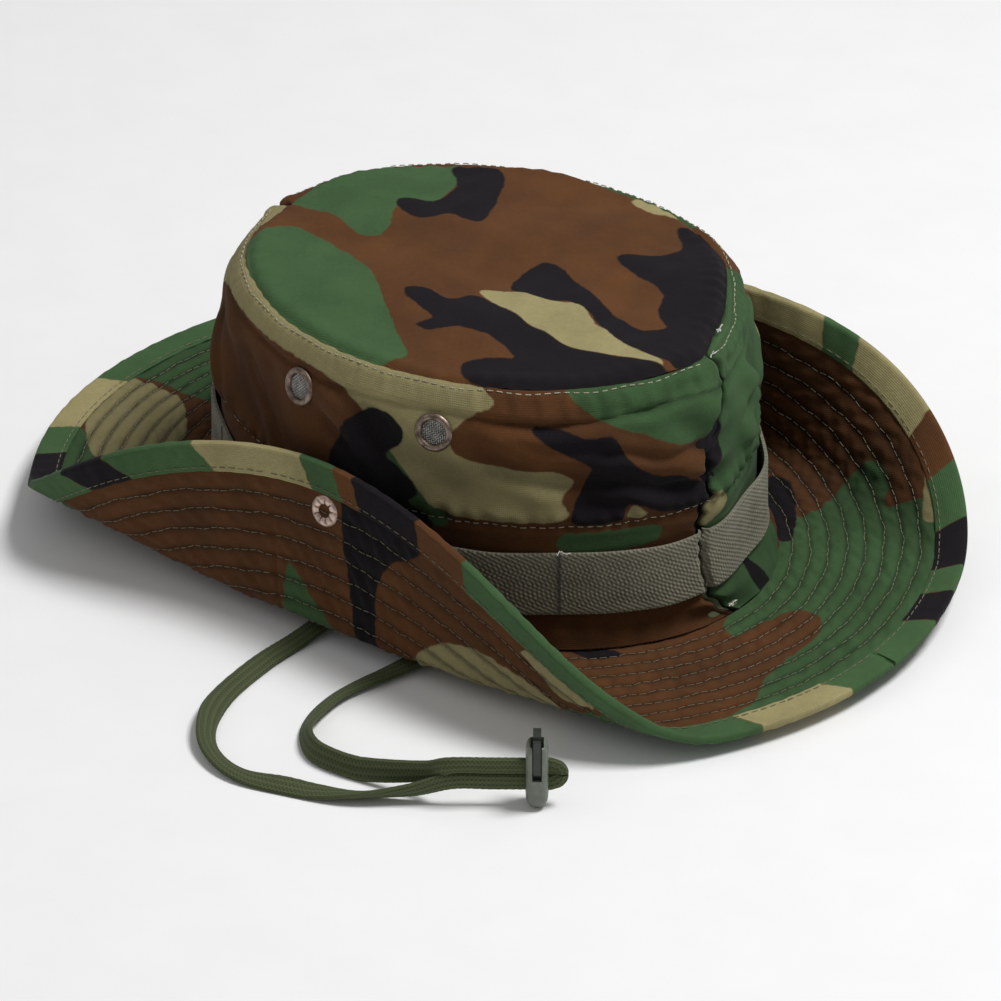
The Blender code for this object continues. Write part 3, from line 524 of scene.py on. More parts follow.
CLOTH_TONES = {"brown": (0.098, 0.042, 0.017), "green": (0.056, 0.112, 0.045),
               "tan": (0.320, 0.278, 0.135), "black": (0.012, 0.010, 0.012)}
WARM_BROWN = (0.122, 0.050, 0.018)


def rounded(corners, rounds=2):
    """An outline with its corners cut until it curves."""
    line = np.array(corners, float)
    for _ in range(rounds):
        after = np.roll(line, -1, axis=0)
        line = np.stack([0.8 * line + 0.2 * after, 0.2 * line + 0.8 * after], 1).reshape(-1, 2)
    return line


def outline_distance(places, outline):
    """Distance from each place to an outline, negative inside it."""
    nearest = np.full(len(places), 1e9)
    inside = np.zeros(len(places), bool)
    for a, b in zip(outline, np.roll(outline, -1, axis=0)):
        edge, away = b - a, places - a
        share = np.clip((away @ edge) / max(edge @ edge, 1e-9), 0.0, 1.0)
        nearest = np.minimum(nearest, np.linalg.norm(away - share[:, None] * edge, axis=1))
        crosses = (a[1] > places[:, 1]) != (b[1] > places[:, 1])
        slope = edge[0] / edge[1] if edge[1] else 0.0
        inside ^= crosses & (places[:, 0] < a[0] + (places[:, 1] - a[1]) * slope)
    return np.where(inside, -nearest, nearest)


def print_fields(u, v, patches, stretch=1.0):
    """Distances in mm from each point to the green, tan and black print, negative on it."""
    places = np.stack([np.ravel(u) * stretch, np.ravel(v)], 1)
    fields = {}
    for tone in ("green", "tan", "black"):
        nearest = np.full(len(places), 99.0)
        for corners in patches[tone]:
            outline = rounded([(x * stretch, y) for x, y in corners])
            nearest = np.minimum(nearest, outline_distance(places, outline))
        fields["print_" + tone] = nearest
    return fields


def binding_fields(degrees, slant):
    """Print fields for the binding, whose cloth changes at slanted ends."""
    place = np.ravel(degrees + slant)
    fields = {"print_" + tone: np.full(place.size, 99.0) for tone in ("green", "tan", "black")}
    start = -200.0
    for end, tone in BINDING_PRINT:
        if tone != "brown":
            reach = np.maximum(start - place, place - end) * 2.6
            fields["print_" + tone] = np.minimum(fields["print_" + tone], reach)
        start = end
    return fields


def both_faces(fields, cloth):
    """Fields for a shell's outer and inner grids, with its cloth coordinates."""
    result = {key: np.tile(np.ravel(values), 2) for key, values in fields.items()}
    result["cloth"] = np.tile(cloth.reshape(-1, 3), (2, 1))
    return result


# ---------------------------------------------------------------- materials

class Nodes:
    """Short way to write a node tree."""

    def __init__(self, name):
        self.material = bpy.data.materials.new(name)
        self.material.use_nodes = True
        self.tree = self.material.node_tree
        self.shader = self.tree.nodes["Principled BSDF"]

    def add(self, kind, settings=None, **inputs):
        node = self.tree.nodes.new(kind)
        for key, value in (settings or {}).items():
            setattr(node, key, value)
        for key, value in inputs.items():
            self.put(node.inputs[key.replace("_", " ")], value)
        return node

    def put(self, socket, value):
        if isinstance(value, bpy.types.NodeSocket):
            self.tree.links.new(value, socket)
        else:
            socket.default_value = value

    def attribute(self, name):
        return self.add("ShaderNodeAttribute", {"attribute_name": name})

    def math(self, operation, a, b=0.0, clamp=False):
        node = self.add("ShaderNodeMath", {"operation": operation, "use_clamp": clamp})
        for socket, value in zip(node.inputs, (a, b)):
            self.put(socket, value)
        return node.outputs[0]

    def span(self, value, low, high, to_low=0.0, to_high=1.0):
        node = self.add("ShaderNodeMapRange", {"clamp": True})
        for index, item in enumerate((value, low, high, to_low, to_high)):
            self.put(node.inputs[index], item)
        return node.outputs[0]

    def mix(self, share, a, b, blend="MIX"):
        node = self.add("ShaderNodeMix", {"data_type": "RGBA", "blend_type": blend})
        for key, value in (("Factor", share), ("A", a), ("B", b)):
            socket = next(s for s in node.inputs if s.name == key and s.enabled)
            self.put(socket, (*value, 1.0) if isinstance(value, tuple) else value)
        return next(s for s in node.outputs if s.enabled)

    def grey(self, shade):
        return self.add("ShaderNodeCombineColor", Red=shade, Green=shade, Blue=shade).outputs[0]

    def shaded(self, colour, shade):
        return self.mix(1.0, colour, self.grey(shade), "MULTIPLY")

    def noise(self, where, scale, detail=3.0, roughness=0.55):
        node = self.add("ShaderNodeTexNoise", Vector=where, Scale=scale, Detail=detail,
                        Roughness=roughness)
        return node.outputs[0]

    def wave(self, where, scale, direction="X", distortion=0.0, detail=0.0):
        node = self.add("ShaderNodeTexWave", {"bands_direction": direction}, Vector=where, Scale=scale,
                        Distortion=distortion, Detail=detail)
        return node.outputs[1]

    def stretch(self, where, scale, turn=0.0):
        node = self.add("ShaderNodeMapping", Vector=where, Scale=scale, Rotation=(0.0, 0.0, turn))
        return node.outputs[0]

    def bump(self, height, strength, distance, under=None):
        node = self.add("ShaderNodeBump", Height=height, Strength=strength, Distance=distance)
        if under is not None:
            self.put(node.inputs["Normal"], under)
        return node.outputs[0]

    def finish(self, colour, roughness, normal, **fixed):
        inputs = {"Base Color": colour, "Roughness": roughness, "Normal": normal, **fixed}
        for key, value in inputs.items():
            self.put(self.shader.inputs[key.replace("_", " ")], value)
        return self.material


LEVEL = (1.0, 1.0, 1.0)


def bands(period):
    """Wave texture scale whose bands repeat at that many metres."""
    return math.pi / 10 / period


def weave(n, where, pitch):
    """Height of a plain weave with that thread pitch in metres, from 0 to 1."""
    along = n.wave(where, bands(pitch), "X", 0.6, 1.0)
    across = n.wave(where, bands(pitch), "Y", 0.6, 1.0)
    return n.math("MAXIMUM", n.math("MULTIPLY", along, 0.9), across)


def camo_material():
    """Printed cotton ripstop: crisp patches, weave, faded high spots and lint, with painted shade from a
    vertex attribute.
    """
    n = Nodes("printed_cotton")
    cloth = n.attribute("cloth").outputs["Vector"]
    body = n.add("ShaderNodeTexCoord").outputs["Object"]
    wobble = n.math("MULTIPLY", n.math("SUBTRACT", n.noise(cloth, 260.0, 2.0), 0.5), 1.6)
    mottle = n.noise(body, 55.0, 4.0)
    colour = n.mix(n.span(n.noise(body, 30.0, 2.0), 0.35, 0.65), CLOTH_TONES["brown"], WARM_BROWN)
    for tone in ("green", "tan", "black"):
        distance = n.math("ADD", n.attribute("print_" + tone).outputs["Fac"], wobble)
        share = n.span(distance, 0.35, -0.35)
        colour = n.mix(share, colour, CLOTH_TONES[tone])
    threads = weave(n, cloth, 0.00062)
    slub = n.noise(n.stretch(cloth, (1.0, 9.0, 1.0)), 420.0, 2.0)
    slub_across = n.noise(n.stretch(cloth, (9.0, 1.0, 1.0)), 420.0, 2.0)
    wear_and_shade = n.math("MULTIPLY", n.span(mottle, 0.3, 0.75, 0.86, 1.14),
                  n.span(threads, 0.0, 1.0, 0.85, 1.07))
    wear_and_shade = n.math("MULTIPLY", wear_and_shade, n.span(slub, 0.25, 0.75, 0.90, 1.10))
    wear_and_shade = n.math("MULTIPLY", wear_and_shade, n.span(slub_across, 0.25, 0.75, 0.90, 1.10))
    # Painted shade: the cloth is darkened by the vertex attribute that the crown walls and brim carry
    # (creases, seams, quilting grooves, the crown's shadow).
    wear_and_shade = n.math("MULTIPLY", wear_and_shade, n.math("SUBTRACT", 1.0, n.attribute("painted_shade").outputs["Fac"]))
    colour = n.shaded(colour, wear_and_shade)
    lint = n.span(n.noise(cloth, 1900.0, 2.0), 0.66, 0.80, 0.0, 0.10)
    colour = n.mix(lint, colour, (0.36, 0.34, 0.27))
    height = n.math("ADD", threads, n.math("MULTIPLY", slub, 0.8))
    fine = n.bump(height, 0.42, 0.00022)
    normal = n.bump(n.noise(cloth, 150.0, 3.0), 0.25, 0.0009, fine)
    roughness = n.span(mottle, 0.3, 0.7, 0.86, 0.96)
    return n.finish(colour, roughness, normal, Sheen_Weight=0.03, Sheen_Roughness=0.4,
                    Specular_IOR_Level=0.12)


def thread_material(name, colour, twist=bands(0.0006)):
    """Spun thread or cord yarn with light and dark strands."""
    n = Nodes(name)
    where = n.add("ShaderNodeTexCoord").outputs["Object"]
    strands = n.wave(where, twist, "DIAGONAL", 1.5, 2.0)
    tint = n.span(n.noise(where, 90.0, 2.0), 0.3, 0.7, 0.78, 1.18)
    shade = n.math("MULTIPLY", tint, n.span(strands, 0.0, 1.0, 0.72, 1.12))
    return n.finish(n.shaded(colour, shade), n.span(strands, 0.0, 1.0, 0.85, 0.7),
                    n.bump(strands, 0.4, 0.0001), Sheen_Weight=0.2)


def webbing_material():
    """Ribbed nylon webbing: fine picks across each rib and a slight lustre."""
    n = Nodes("ribbed_webbing")
    cloth = n.attribute("cloth").outputs["Vector"]
    picks = n.wave(n.stretch(cloth, LEVEL, 0.5), bands(0.0013), "Y", 0.4, 1.0)
    ribs = n.wave(n.stretch(cloth, LEVEL, -0.35), bands(0.0013), "X", 0.3, 1.0)
    tint = n.span(n.noise(cloth, 130.0, 3.0), 0.3, 0.7, 0.84, 1.14)
    shade = n.math("MULTIPLY", tint, n.span(picks, 0.0, 1.0, 0.86, 1.05))
    shade = n.math("MULTIPLY", shade, n.span(ribs, 0.0, 1.0, 0.66, 1.12))
    colour = n.shaded((0.195, 0.183, 0.130), shade)
    return n.finish(colour, n.span(picks, 0.0, 1.0, 0.82, 0.66), n.bump(picks, 0.6, 0.00025),
                    Sheen_Weight=0.1)


def cord_material():
    """Flat braided lace: fine crossing strands in lengthwise bands, with painted shade in the crevices
    between strands.
    """
    n = Nodes("braided_cord")
    cloth = n.attribute("cloth").outputs["Vector"]
    one = n.wave(n.stretch(cloth, LEVEL, 0.6), bands(0.0011), "X", 0.5, 1.0)
    two = n.wave(n.stretch(cloth, LEVEL, -0.6), bands(0.0011), "X", 0.5, 1.0)
    braid = n.math("MAXIMUM", one, two)
    courses = n.wave(cloth, bands(0.0019), "Y", 0.8, 2.0)
    fuzz = n.noise(cloth, 1100.0, 3.0)
    # Painted shade: the low parts of the braid pattern, its crevices, take the darker colour.
    colour = n.mix(n.span(braid, 0.2, 0.95), (0.036, 0.045, 0.019), (0.070, 0.086, 0.038))
    colour = n.mix(n.span(courses, 0.3, 0.8, 0.0, 0.5), colour, (0.105, 0.125, 0.056))
    colour = n.mix(n.span(fuzz, 0.55, 0.75, 0.0, 0.3), colour, (0.12, 0.14, 0.07))
    height = n.math("ADD", braid, n.math("ADD", courses, fuzz))
    return n.finish(colour, n.span(fuzz, 0.3, 0.7, 0.78, 0.92), n.bump(height, 0.5, 0.00025),
                    Sheen_Weight=0.05, Specular_IOR_Level=0.2)


def plastic_material(name, base, rubbed):
    """Moulded polymer with a fine spark texture and lighter rubbed patches at random."""
    n = Nodes(name)
    where = n.add("ShaderNodeTexCoord").outputs["Object"]
    grain = n.noise(where, 2600.0, 2.0)
    rub = n.span(n.noise(where, 240.0, 4.0), 0.45, 0.7)
    colour = n.mix(rub, base, rubbed)
    return n.finish(colour, n.span(rub, 0.0, 1.0, 0.42, 0.55), n.bump(grain, 0.18, 0.0001))


def metal_material(name, bright, dull, low, high):
    """Plated brass or steel, tarnished in patches and scratched."""
    n = Nodes(name)
    where = n.add("ShaderNodeTexCoord").outputs["Object"]
    tarnish = n.span(n.noise(where, 420.0, 4.0), 0.4, 0.65)
    scratch = n.noise(n.stretch(where, (1.0, 14.0, 3.0), 0.6), 900.0, 2.0)
    roughness = n.math("ADD", n.span(tarnish, 0.0, 1.0, low, high),
                       n.math("MULTIPLY", scratch, 0.08))
    return n.finish(n.mix(tarnish, bright, dull), roughness, n.bump(scratch, 0.12, 0.00008),
                    Metallic=1.0)


def lining_material():
    """Plain olive cotton of the sweatband and seam tape."""
    n = Nodes("olive_cotton")
    cloth = n.attribute("cloth").outputs["Vector"]
    threads = weave(n, cloth, 0.0007)
    tint = n.math("MULTIPLY", n.span(threads, 0.0, 1.0, 0.78, 1.08),
                  n.span(n.noise(cloth, 80.0, 3.0), 0.3, 0.7, 0.85, 1.12))
    return n.finish(n.shaded((0.105, 0.125, 0.065), tint), n.span(threads, 0.0, 1.0, 0.95, 0.85),
                    n.bump(threads, 0.4, 0.0002), Sheen_Weight=0.1)


CAMO = camo_material()
THREAD_PALE = thread_material("quilting_thread", (0.185, 0.165, 0.10))
THREAD_LIGHT = thread_material("topstitching_thread", (0.40, 0.39, 0.28))
THREAD_WHITE = thread_material("basting_thread", (0.80, 0.79, 0.74))
THREAD_DARK = thread_material("seam_thread", (0.035, 0.038, 0.030))
WEBBING = webbing_material()
CORD = cord_material()
PLASTIC = plastic_material("moulded_plastic", (0.130, 0.148, 0.114), (0.180, 0.200, 0.158))
DARK_PLASTIC = plastic_material("dark_plastic", (0.022, 0.026, 0.020), (0.040, 0.046, 0.036))
BRONZE = metal_material("tarnished_bronze", (0.27, 0.21, 0.17), (0.12, 0.085, 0.065), 0.38, 0.56)
SNAP_BRONZE = metal_material("pink_bronze", (0.62, 0.47, 0.40), (0.36, 0.26, 0.22), 0.32, 0.5)
LINING = lining_material()
STEEL = metal_material("grey_steel", (0.58, 0.57, 0.54), (0.34, 0.33, 0.31), 0.36, 0.52)


# ---------------------------------------------------------------- crown

def seam_path(z):
    """Degrees round from the front at which the puckered front seam runs."""
    heights = (0, 4, 10, 20, 30, 43, 48, 58, 68, 76, 83, 91)
    angles = (-1, -5, -9.5, -11.5, -12.5, -11.5, -9, -10.5, -8, -3, 1.5, 0)
    return np.radians(np.interp(z, heights, angles) + 0.5 * np.sin(z * 1.1))


def rear_seam_path(z):
    return np.radians(180 + 2.5 * np.sin(z / 13.0) + 0.5 * np.sin(z * 1.3))


def wall_folds():
    """Deep folds as (end, end, half width, depth), an end being (degrees round, height)."""
    folds = []
    for side in (-1, 1):
        for height, rise in ((86, -6), (65, 12), (54, 10)):      # fanning back from the front seam
            knee, tip = (side * 34, height + rise / 2), (side * 58, height + rise)
            folds += [((side * 9, height), knee, 1.9, 1.35), (knee, tip, 2.2, 0.95)]
        for turn in range(84, 170, 24):                          # leaning back round the side and rear
            folds.append(((side * turn, 53), (side * (turn + 13), 72), 2.2, 1.05))
    return folds


WALL_FOLDS = wall_folds()


def fold_depths(arc, z):
    """Sum of the wall's deep folds at each place, with a soft ridge beside each."""
    total = 0 * arc
    for (turn_a, z_a), (turn_b, z_b), width, depth in WALL_FOLDS:
        x_a, x_b = turn_a * ARC_PER_DEGREE, turn_b * ARC_PER_DEGREE
        run = math.hypot(x_b - x_a, z_b - z_a)
        ahead = ((x_b - x_a) / run, (z_b - z_a) / run)
        along = (arc - x_a) * ahead[0] + (z - z_a) * ahead[1]
        across = (z - z_a) * ahead[0] - (arc - x_a) * ahead[1] + 0.9 * np.sin(along / 4.5)
        within = smooth(-6.0, 3.0, along) * (1 - smooth(run - 3.0, run + 6.0, along))
        ridge = 0.8 * bell(across - 1.9 * width, 1.5 * width)
        total = total + within * depth * (ridge - bell(across, width))
    return total


def wall_relief(arc, z, from_seam):
    """How far the wall's cloth stands out from its smooth shape, in mm."""
    crease = TOP_CREASE_Z + 0.8 * ripple(arc, 0 * z, 60, 3)
    above = smooth(crease - 0.5, crease + 0.8, z)
    relief = 1.1 * above - 0.7 * bell(z - crease + 0.9, 0.9)
    relief = relief - 0.45 * bell(z - TOP_STITCH_Z, 0.55)
    relief = relief + 0.22 * ripple(arc, z * 0.35, 5.5, 5, 0.0, 0.25) * bell(z - 87.0, 4.0)
    free = smooth(TUCK_Z + 1.5, TUCK_Z + 7.0, z) * (1 - smooth(76.0, 82.0, z))
    relief = relief + free * (1.9 * ripple(arc, z * 1.6, 46, 7) + 1.0 * ripple(arc, z, 17, 9, 0.9, 0.5))
    relief = relief + 1.3 * bell(z - TUCK_Z - 3.2, 2.6) + 0.7 * bell(z - TUCK_Z + 2.6, 1.8)
    relief = relief - 0.55 * bell(z - TUCK_Z, 0.7)
    tuck_puckers = bell(z - TUCK_Z - 2.5, 3.5)
    relief = relief + 0.45 * ripple(arc, z * 0.4, 6.5, 13, 0.1, 0.35) * tuck_puckers
    low = 1 - smooth(8.0, 13.0, z)
    relief = relief + low * 0.25 * ripple(arc, z, 8.0, 15)
    relief = relief + fold_depths(arc, z)
    near = bell(from_seam, 12.0)
    pulls = 1.3 * ripple(0.35 * from_seam, z, 11.0, 17, math.pi / 2, 0.35)
    open_wall = 1 - smooth(11.0, 13.5, z) * (1 - smooth(37.0, 41.0, z))
    relief = relief + near * pulls * open_wall * smooth(0.0, 4.0, from_seam)
    relief = relief * open_wall
    rolled = bell(from_seam, 1.1)
    flat_vents = np.ones_like(relief)
    for x in VENT_X:
        place = math.degrees(math.acos(x / WALL_LENGTH)) * ARC_PER_DEGREE
        flat_vents *= 1 - 0.95 * bell(np.hypot(np.abs(arc) - place, z - VENT_Z), 10.0)
    return np.maximum(relief, -2.4) * flat_vents - 1.5 * rolled


def crown_side(side):
    """One side panel, from the front seam to the rear seam, with its rolled seam edges."""
    columns, rows = 300, 100
    share = np.linspace(0.0, 1.0, columns)
    share = share - 0.045 * np.sin(TAU * share)      # finer columns near the seams
    z = np.concatenate([np.linspace(1.3, 40.0, 30), np.linspace(41.0, TOP_SEAM_Z + 0.2, rows - 30)])
    share, z = np.meshgrid(share, z, indexing="ij")
    half_gap = math.radians(0.46)
    front = seam_path(z) + side * half_gap
    rear = rear_seam_path(z) - (TAU if side < 0 else 0) - side * half_gap
    angle = front + (rear - front) * share
    arc = np.degrees(angle) * ARC_PER_DEGREE
    from_seam = np.minimum(np.abs(angle - front), np.abs(angle - rear)) * TURN_RADIUS
    relief = wall_relief(arc, z, from_seam)
    turn_in = smooth(TOP_SEAM_Z - 0.9, TOP_SEAM_Z + 0.2, z)
    outer = wall_surface(angle, z, CLOTH / 2 + relief - 1.3 * turn_in)[0]
    inner = wall_surface(angle, z, -CLOTH / 2 + np.minimum(relief, 0.0) - 0.9 * turn_in)[0]
    points, faces = shell_part(outer, inner)
    cloth = cloth_place(arc, z)
    patches = RIGHT_WALL_PRINT if side < 0 else LEFT_WALL_PRINT
    fields = print_fields(np.degrees(angle), z, patches, ARC_PER_DEGREE)
    # Painted shade: the wall is darker in its deep creases, more on the lower wall than near the top, and
    # in a thin dark line along each seam.
    folds = 0.22 * smooth(0.2, -1.6, relief) * (1 - smooth(80.0, 88.0, z))
    wall_painted_shade = 0.30 - 0.14 * smooth(45.0, 76.0, z)
    fields["painted_shade"] = np.clip(wall_painted_shade + folds + 0.8 * bell(from_seam, 0.8), 0.0, 0.97)
    name = "crown_side_cloth_" + SIDE_NAME[side]
    item = make_piece(name, points, faces, CAMO, "hat", both_faces(fields, cloth))
    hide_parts("crown_side_" + SIDE_NAME[side])
    bore_vents(item, side)
    return item


def bore_vents(item, side):
    """Cuts one side's two vent holes through the crown's cloth."""
    turns, radius = np.arange(40) / 40 * TAU, 5.2
    rings = [[(radius * math.cos(t), radius * math.sin(t), h) for t in turns] for h in (-4, 4)]
    for x in VENT_X:
        apply_boolean(item, cut_tool(np.array(rings), wall_stand(side, x, VENT_Z)), "DIFFERENCE")


def crown_top():
    """Slightly domed oval top with its seam rolled down all round."""
    columns, rows = 300, 56
    angle = np.linspace(0, TAU, columns, endpoint=False)
    share = np.concatenate([np.linspace(0.02, 0.88, rows - 16), np.linspace(0.89, 1.0, 16)])
    angle, share = np.meshgrid(angle, share, indexing="ij")
    rim = wall_surface(angle, TOP_SEAM_Z + 0 * angle)[0]
    x, y = rim[..., 0] * share, rim[..., 1] * share
    edge = (1 - share) * 79.0
    relief = 0.9 * ripple(x, y, 50, 21) + 0.34 * ripple(x, y, 15, 22, 0.5, 0.5) * smooth(6, 20, edge)
    puckers = ripple(np.degrees(angle) * 1.4, edge * 0.3, 6.5, 23, 0.0, 0.2)
    relief = relief + 0.30 * puckers * bell(edge, 7.0)
    relief = relief + 0.5 * bell(edge - 4.5, 3.0) - 1.9 * bell(edge, 1.7)
    z = TOP_SEAM_Z + 1.9 + DOME_HEIGHT * (1 - share ** 2) + relief
    top = np.stack([x, y, z], -1)
    under = np.stack([x * 0.996, y * 0.996, z - CLOTH], -1)
    points, faces = shell_part(top, under, loop=True)
    count = columns * rows
    middle = tuple(range(0, count, rows))
    faces = [face for face in faces if not all(k % rows == 0 for k in face)]
    faces += [middle, tuple(k + count for k in reversed(middle))]
    cloth = cloth_place(x, y)
    item = make_piece("crown_top_cloth", points, faces, CAMO, "hat",
                      both_faces(print_fields(x, y, TOP_PRINT), cloth))
    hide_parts("crown_top")


def wall_stitches():
    """Topstitching under the top seam and along the tuck."""
    parts = []
    angle = np.linspace(0, TAU, 900)
    for z, lift in ((TOP_STITCH_Z, 0.16), (TUCK_Z, 0.1)):
        height = z + 0.25 * np.sin(angle * 23)
        past = angle - seam_path(height)
        from_seam = np.minimum(np.abs(past - TAU), np.abs(past))
        away = np.minimum(from_seam, np.abs(angle - rear_seam_path(height))) * TURN_RADIUS
        arc = np.degrees(np.where(angle > math.pi, angle - TAU, angle)) * ARC_PER_DEGREE
        path, normal = wall_surface(angle, height, CLOTH / 2 + wall_relief(arc, height, away))
        for first, last in ((12, 440), (462, 888)):
            parts.append(stitch_part(path[first:last], normal[first:last], 2.2, 0.9, 0.2, lift=lift))
    points, faces = join_parts(parts)
    make_piece("crown_topstitching", points, faces, THREAD_LIGHT, "hat")


def seam_backing():
    """Folded seam allowances that close the front and rear seams from behind, printed all black as painted
    shade seen through the seam gaps.
    """
    z = np.linspace(1.9, TOP_SEAM_Z - 1.5, 60)
    across = np.linspace(-1.0, 1.0, 7)
    for name, line in (("front", seam_path), ("rear", rear_seam_path)):
        height, place = np.meshgrid(z, across, indexing="ij")
        angle = line(height) + place * math.radians(3.2)
        thick = 0.45 + 0.12 * ripple(height, place, 7, 31)
        behind = -CLOTH / 2 - 1.2
        front = wall_surface(angle, height, behind)[0]
        back = wall_surface(angle, height, behind - thick)[0]
        points, faces = shell_part(front, back)
        # Painted shade: the allowances are printed all black so the seams' gaps read as dark grooves.
        shade = {"print_green": np.full(len(points), 99.0), "print_tan": np.full(len(points), 99.0),
                 "print_black": np.full(len(points), -9.0), "cloth": points * MM}
        make_piece("crown_seam_allowance_" + name, points, faces, CAMO, "hat", shade)


def wall_ring(name, node, low, high, offset, thickness, rows, finish):
    """Closed band inside the crown, such as the sweatband."""
    columns = 360
    angle = np.linspace(0, TAU, columns, endpoint=False)
    angle, z = np.meshgrid(angle, np.linspace(low, high, rows), indexing="ij")
    arc = np.degrees(angle) * ARC_PER_DEGREE
    edge = np.minimum(z - low, high - z)
    round_off = 0.35 * bell(edge, 0.7)
    puff = 0.25 * ripple(arc, z, 12, 41) * smooth(1.0, 5.0, edge)
    front = wall_surface(angle, z, offset + thickness / 2 - round_off)[0]
    back = wall_surface(angle, z, offset - thickness / 2 + round_off - np.abs(puff))[0]
    points, faces = shell_part(front, back, loop=True)
    cloth = cloth_place(arc, z)
    fields = print_fields(arc, z, {"green": [], "tan": [], "black": []})
    item = make_piece(name, points, faces, finish, "hat", both_faces(fields, cloth))
    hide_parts(node)


def branch_loop_band():
    """Webbing sewn down at its tacks and bowed between them, with its ends in the front seam."""
    share = np.linspace(0.0, 1.0, 1600)
    share = share - 0.035 * np.sin(TAU * share)      # finer columns near the seam
    z = np.concatenate([[BAND_LOW, BAND_LOW + 0.4], np.linspace(BAND_LOW + 1.2, BAND_HIGH - 1.2, 9),
                        [BAND_HIGH - 0.4, BAND_HIGH]])
    share, z = np.meshgrid(share, z, indexing="ij")
    half_gap = math.radians(0.44)
    angle = seam_path(z) + half_gap + (TAU - 2 * half_gap) * share
    arc = np.degrees(angle) * ARC_PER_DEGREE
    between_tacks = np.sin(angle * BAND_TACKS / 2) ** 2
    edge = np.minimum(z - BAND_LOW, BAND_HIGH - z)
    rib = 0.1 * np.cos(angle * TAU * BASE_LENGTH * 0.93 / RIB)
    from_seam = np.minimum(share, 1 - share) * TAU * 98.0
    turned_in = 1.9 * bell(from_seam, 1.3)
    selvedge = 0.25 * bell(edge, 0.35)
    wander = 0.35 * ripple(arc, z * 0.2, 34, 43)
    bed = BAND_BED + BAND_BOW * between_tacks - turned_in
    outer_offset = bed + BAND_THICK + rib - selvedge
    inner_offset = bed + selvedge * 0.5
    sag = z + wander * between_tacks
    points, faces = shell_part(wall_surface(angle, sag, outer_offset)[0],
                               wall_surface(angle, sag, inner_offset)[0])
    cloth = cloth_place(arc, z)
    item = make_piece("branch_loop_webbing", points, faces, WEBBING, "hat",
                      both_faces({}, cloth))
    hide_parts("branch_loop_band")


def band_tacks():
    """Dense zigzag bar tacks that hold the webbing, all but at the front, where its ends are sewn in."""
    parts = []
    for tack in range(1, BAND_TACKS):
        angle = TAU * tack / BAND_TACKS
        z = np.linspace(BAND_LOW + 0.8, BAND_HIGH - 0.8, 46)
        sway = np.where(np.arange(z.size) % 2, 1.0, -1.0) * math.radians(0.38)
        path, normal = wall_surface(angle + sway, z, BAND_BED + BAND_THICK + 0.12)
        parts.append(thread_tube(path, normal, 0.17))
    points, faces = join_parts(parts)
    make_piece("webbing_bar_tacks", points, faces, THREAD_DARK, "hat")


def thread_tails():
    """Short white basting ends left at the seam's ends and above one tack."""
    parts = []
    places = ((math.radians(0.5), TOP_SEAM_Z - 0.3, 1.2), (math.radians(-4.0), 4.5, 1.6),
              (math.radians(-45.0), BAND_HIGH + 0.8, 1.9), (math.radians(12.0), TOP_SEAM_Z + 0.6, 1.5))
    for index, (angle, z, out) in enumerate(places):
        for strand in range(3):
            start, normal = wall_surface(np.array(angle), np.array(z), CLOTH / 2 + out * 0.4)
            around = np.array([-normal[1], normal[0], 0.0])
            lean = 1.3 * math.sin(2.1 * strand + index) + 0.6
            rise = 0.9 * math.cos(1.7 * strand + index)
            rows = [start, start + normal * out * 0.5 + around * 0.4 * lean,
                    start + normal * out * 0.7 + around * 1.3 * lean + np.array([0, 0, rise]),
                    start + normal * out * 0.6 + around * 2.0 * lean + np.array([0, 0, 0.3 * rise])]
            path = smooth_path(rows, 5)
            parts.append(thread_tube(path, UP, 0.16))
    points, faces = join_parts(parts)
    make_piece("thread_tails", points, faces, THREAD_WHITE, "hat")


# ---------------------------------------------------------------- brim

def seam_angle(side):
    return side * (math.pi / 2 + math.atan2(-SIDE_SEAM_X, 84.5))


def quarters():
    """The four quarters of the brim: name, side, and the range of polar angles."""
    right, left = seam_angle(-1), seam_angle(1)
    return (("front_right", -1, right, 0.0), ("front_left", 1, 0.0, left),
            ("rear_left", 1, left, math.pi), ("rear_right", -1, -math.pi, right))


def hang_on_fold(item):
    """Bakes the piece's placement into its mesh."""
    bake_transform(item)


def brim_grid(first, last, shares, step=1.45):
    columns = max(12, int(abs(last - first) * 150 / step))
    polar, share = np.meshgrid(np.linspace(first, last, columns), shares, indexing="ij")
    return polar, share, brim_radius(polar, share)


def quilt_relief(polar, radius, share, seed):
    """Puffed rows between the quilting lines, with slanting puckers."""
    row = (share - QUILT_FIRST) / QUILT_STEP
    between = np.sin(math.pi * row) ** 2
    quilted = smooth(-1.0, 0.0, row) * (1 - smooth(QUILT_ROWS - 0.5, QUILT_ROWS + 0.4, row))
    quilted = quilted * smooth(0.0, 0.05, math.pi - np.abs(polar))
    x, y = radius * np.cos(polar), radius * np.sin(polar)
    arc = polar * 140.0
    puckers = ripple(arc, radius, 5.6, seed, 0.75, 0.22)
    puckers = puckers + 0.6 * ripple(arc, radius, 5.0, seed + 1, -0.8, 0.2)
    puffs = 0.5 * np.sqrt(between) + 0.34 * puckers * (0.35 + 0.65 * between)
    return quilted * puffs + 0.18 * ripple(x, y, 34, seed + 2)


def seam_dip(polar):
    away = np.minimum(np.abs(polar - seam_angle(-1)), np.abs(polar - seam_angle(1))) * 100.0
    return 0.55 * bell(away, 0.8)


def snap_reach(side):
    """How far out on the brim's flat pattern the snap that meets the stud sits."""
    low, high = FOLD_LINE[side][0], HEM_SIDE
    for _ in range(40):
        middle = (low + high) / 2
        point = brim_middle(np.array(math.atan2(side * middle, SNAP_X)),
                            np.array(math.hypot(middle, SNAP_X)))
        low, high = (middle, high) if point[2] < SNAP_Z else (low, middle)
    return high


SNAP_REACH = {side: snap_reach(side) for side in (-1, 1)}


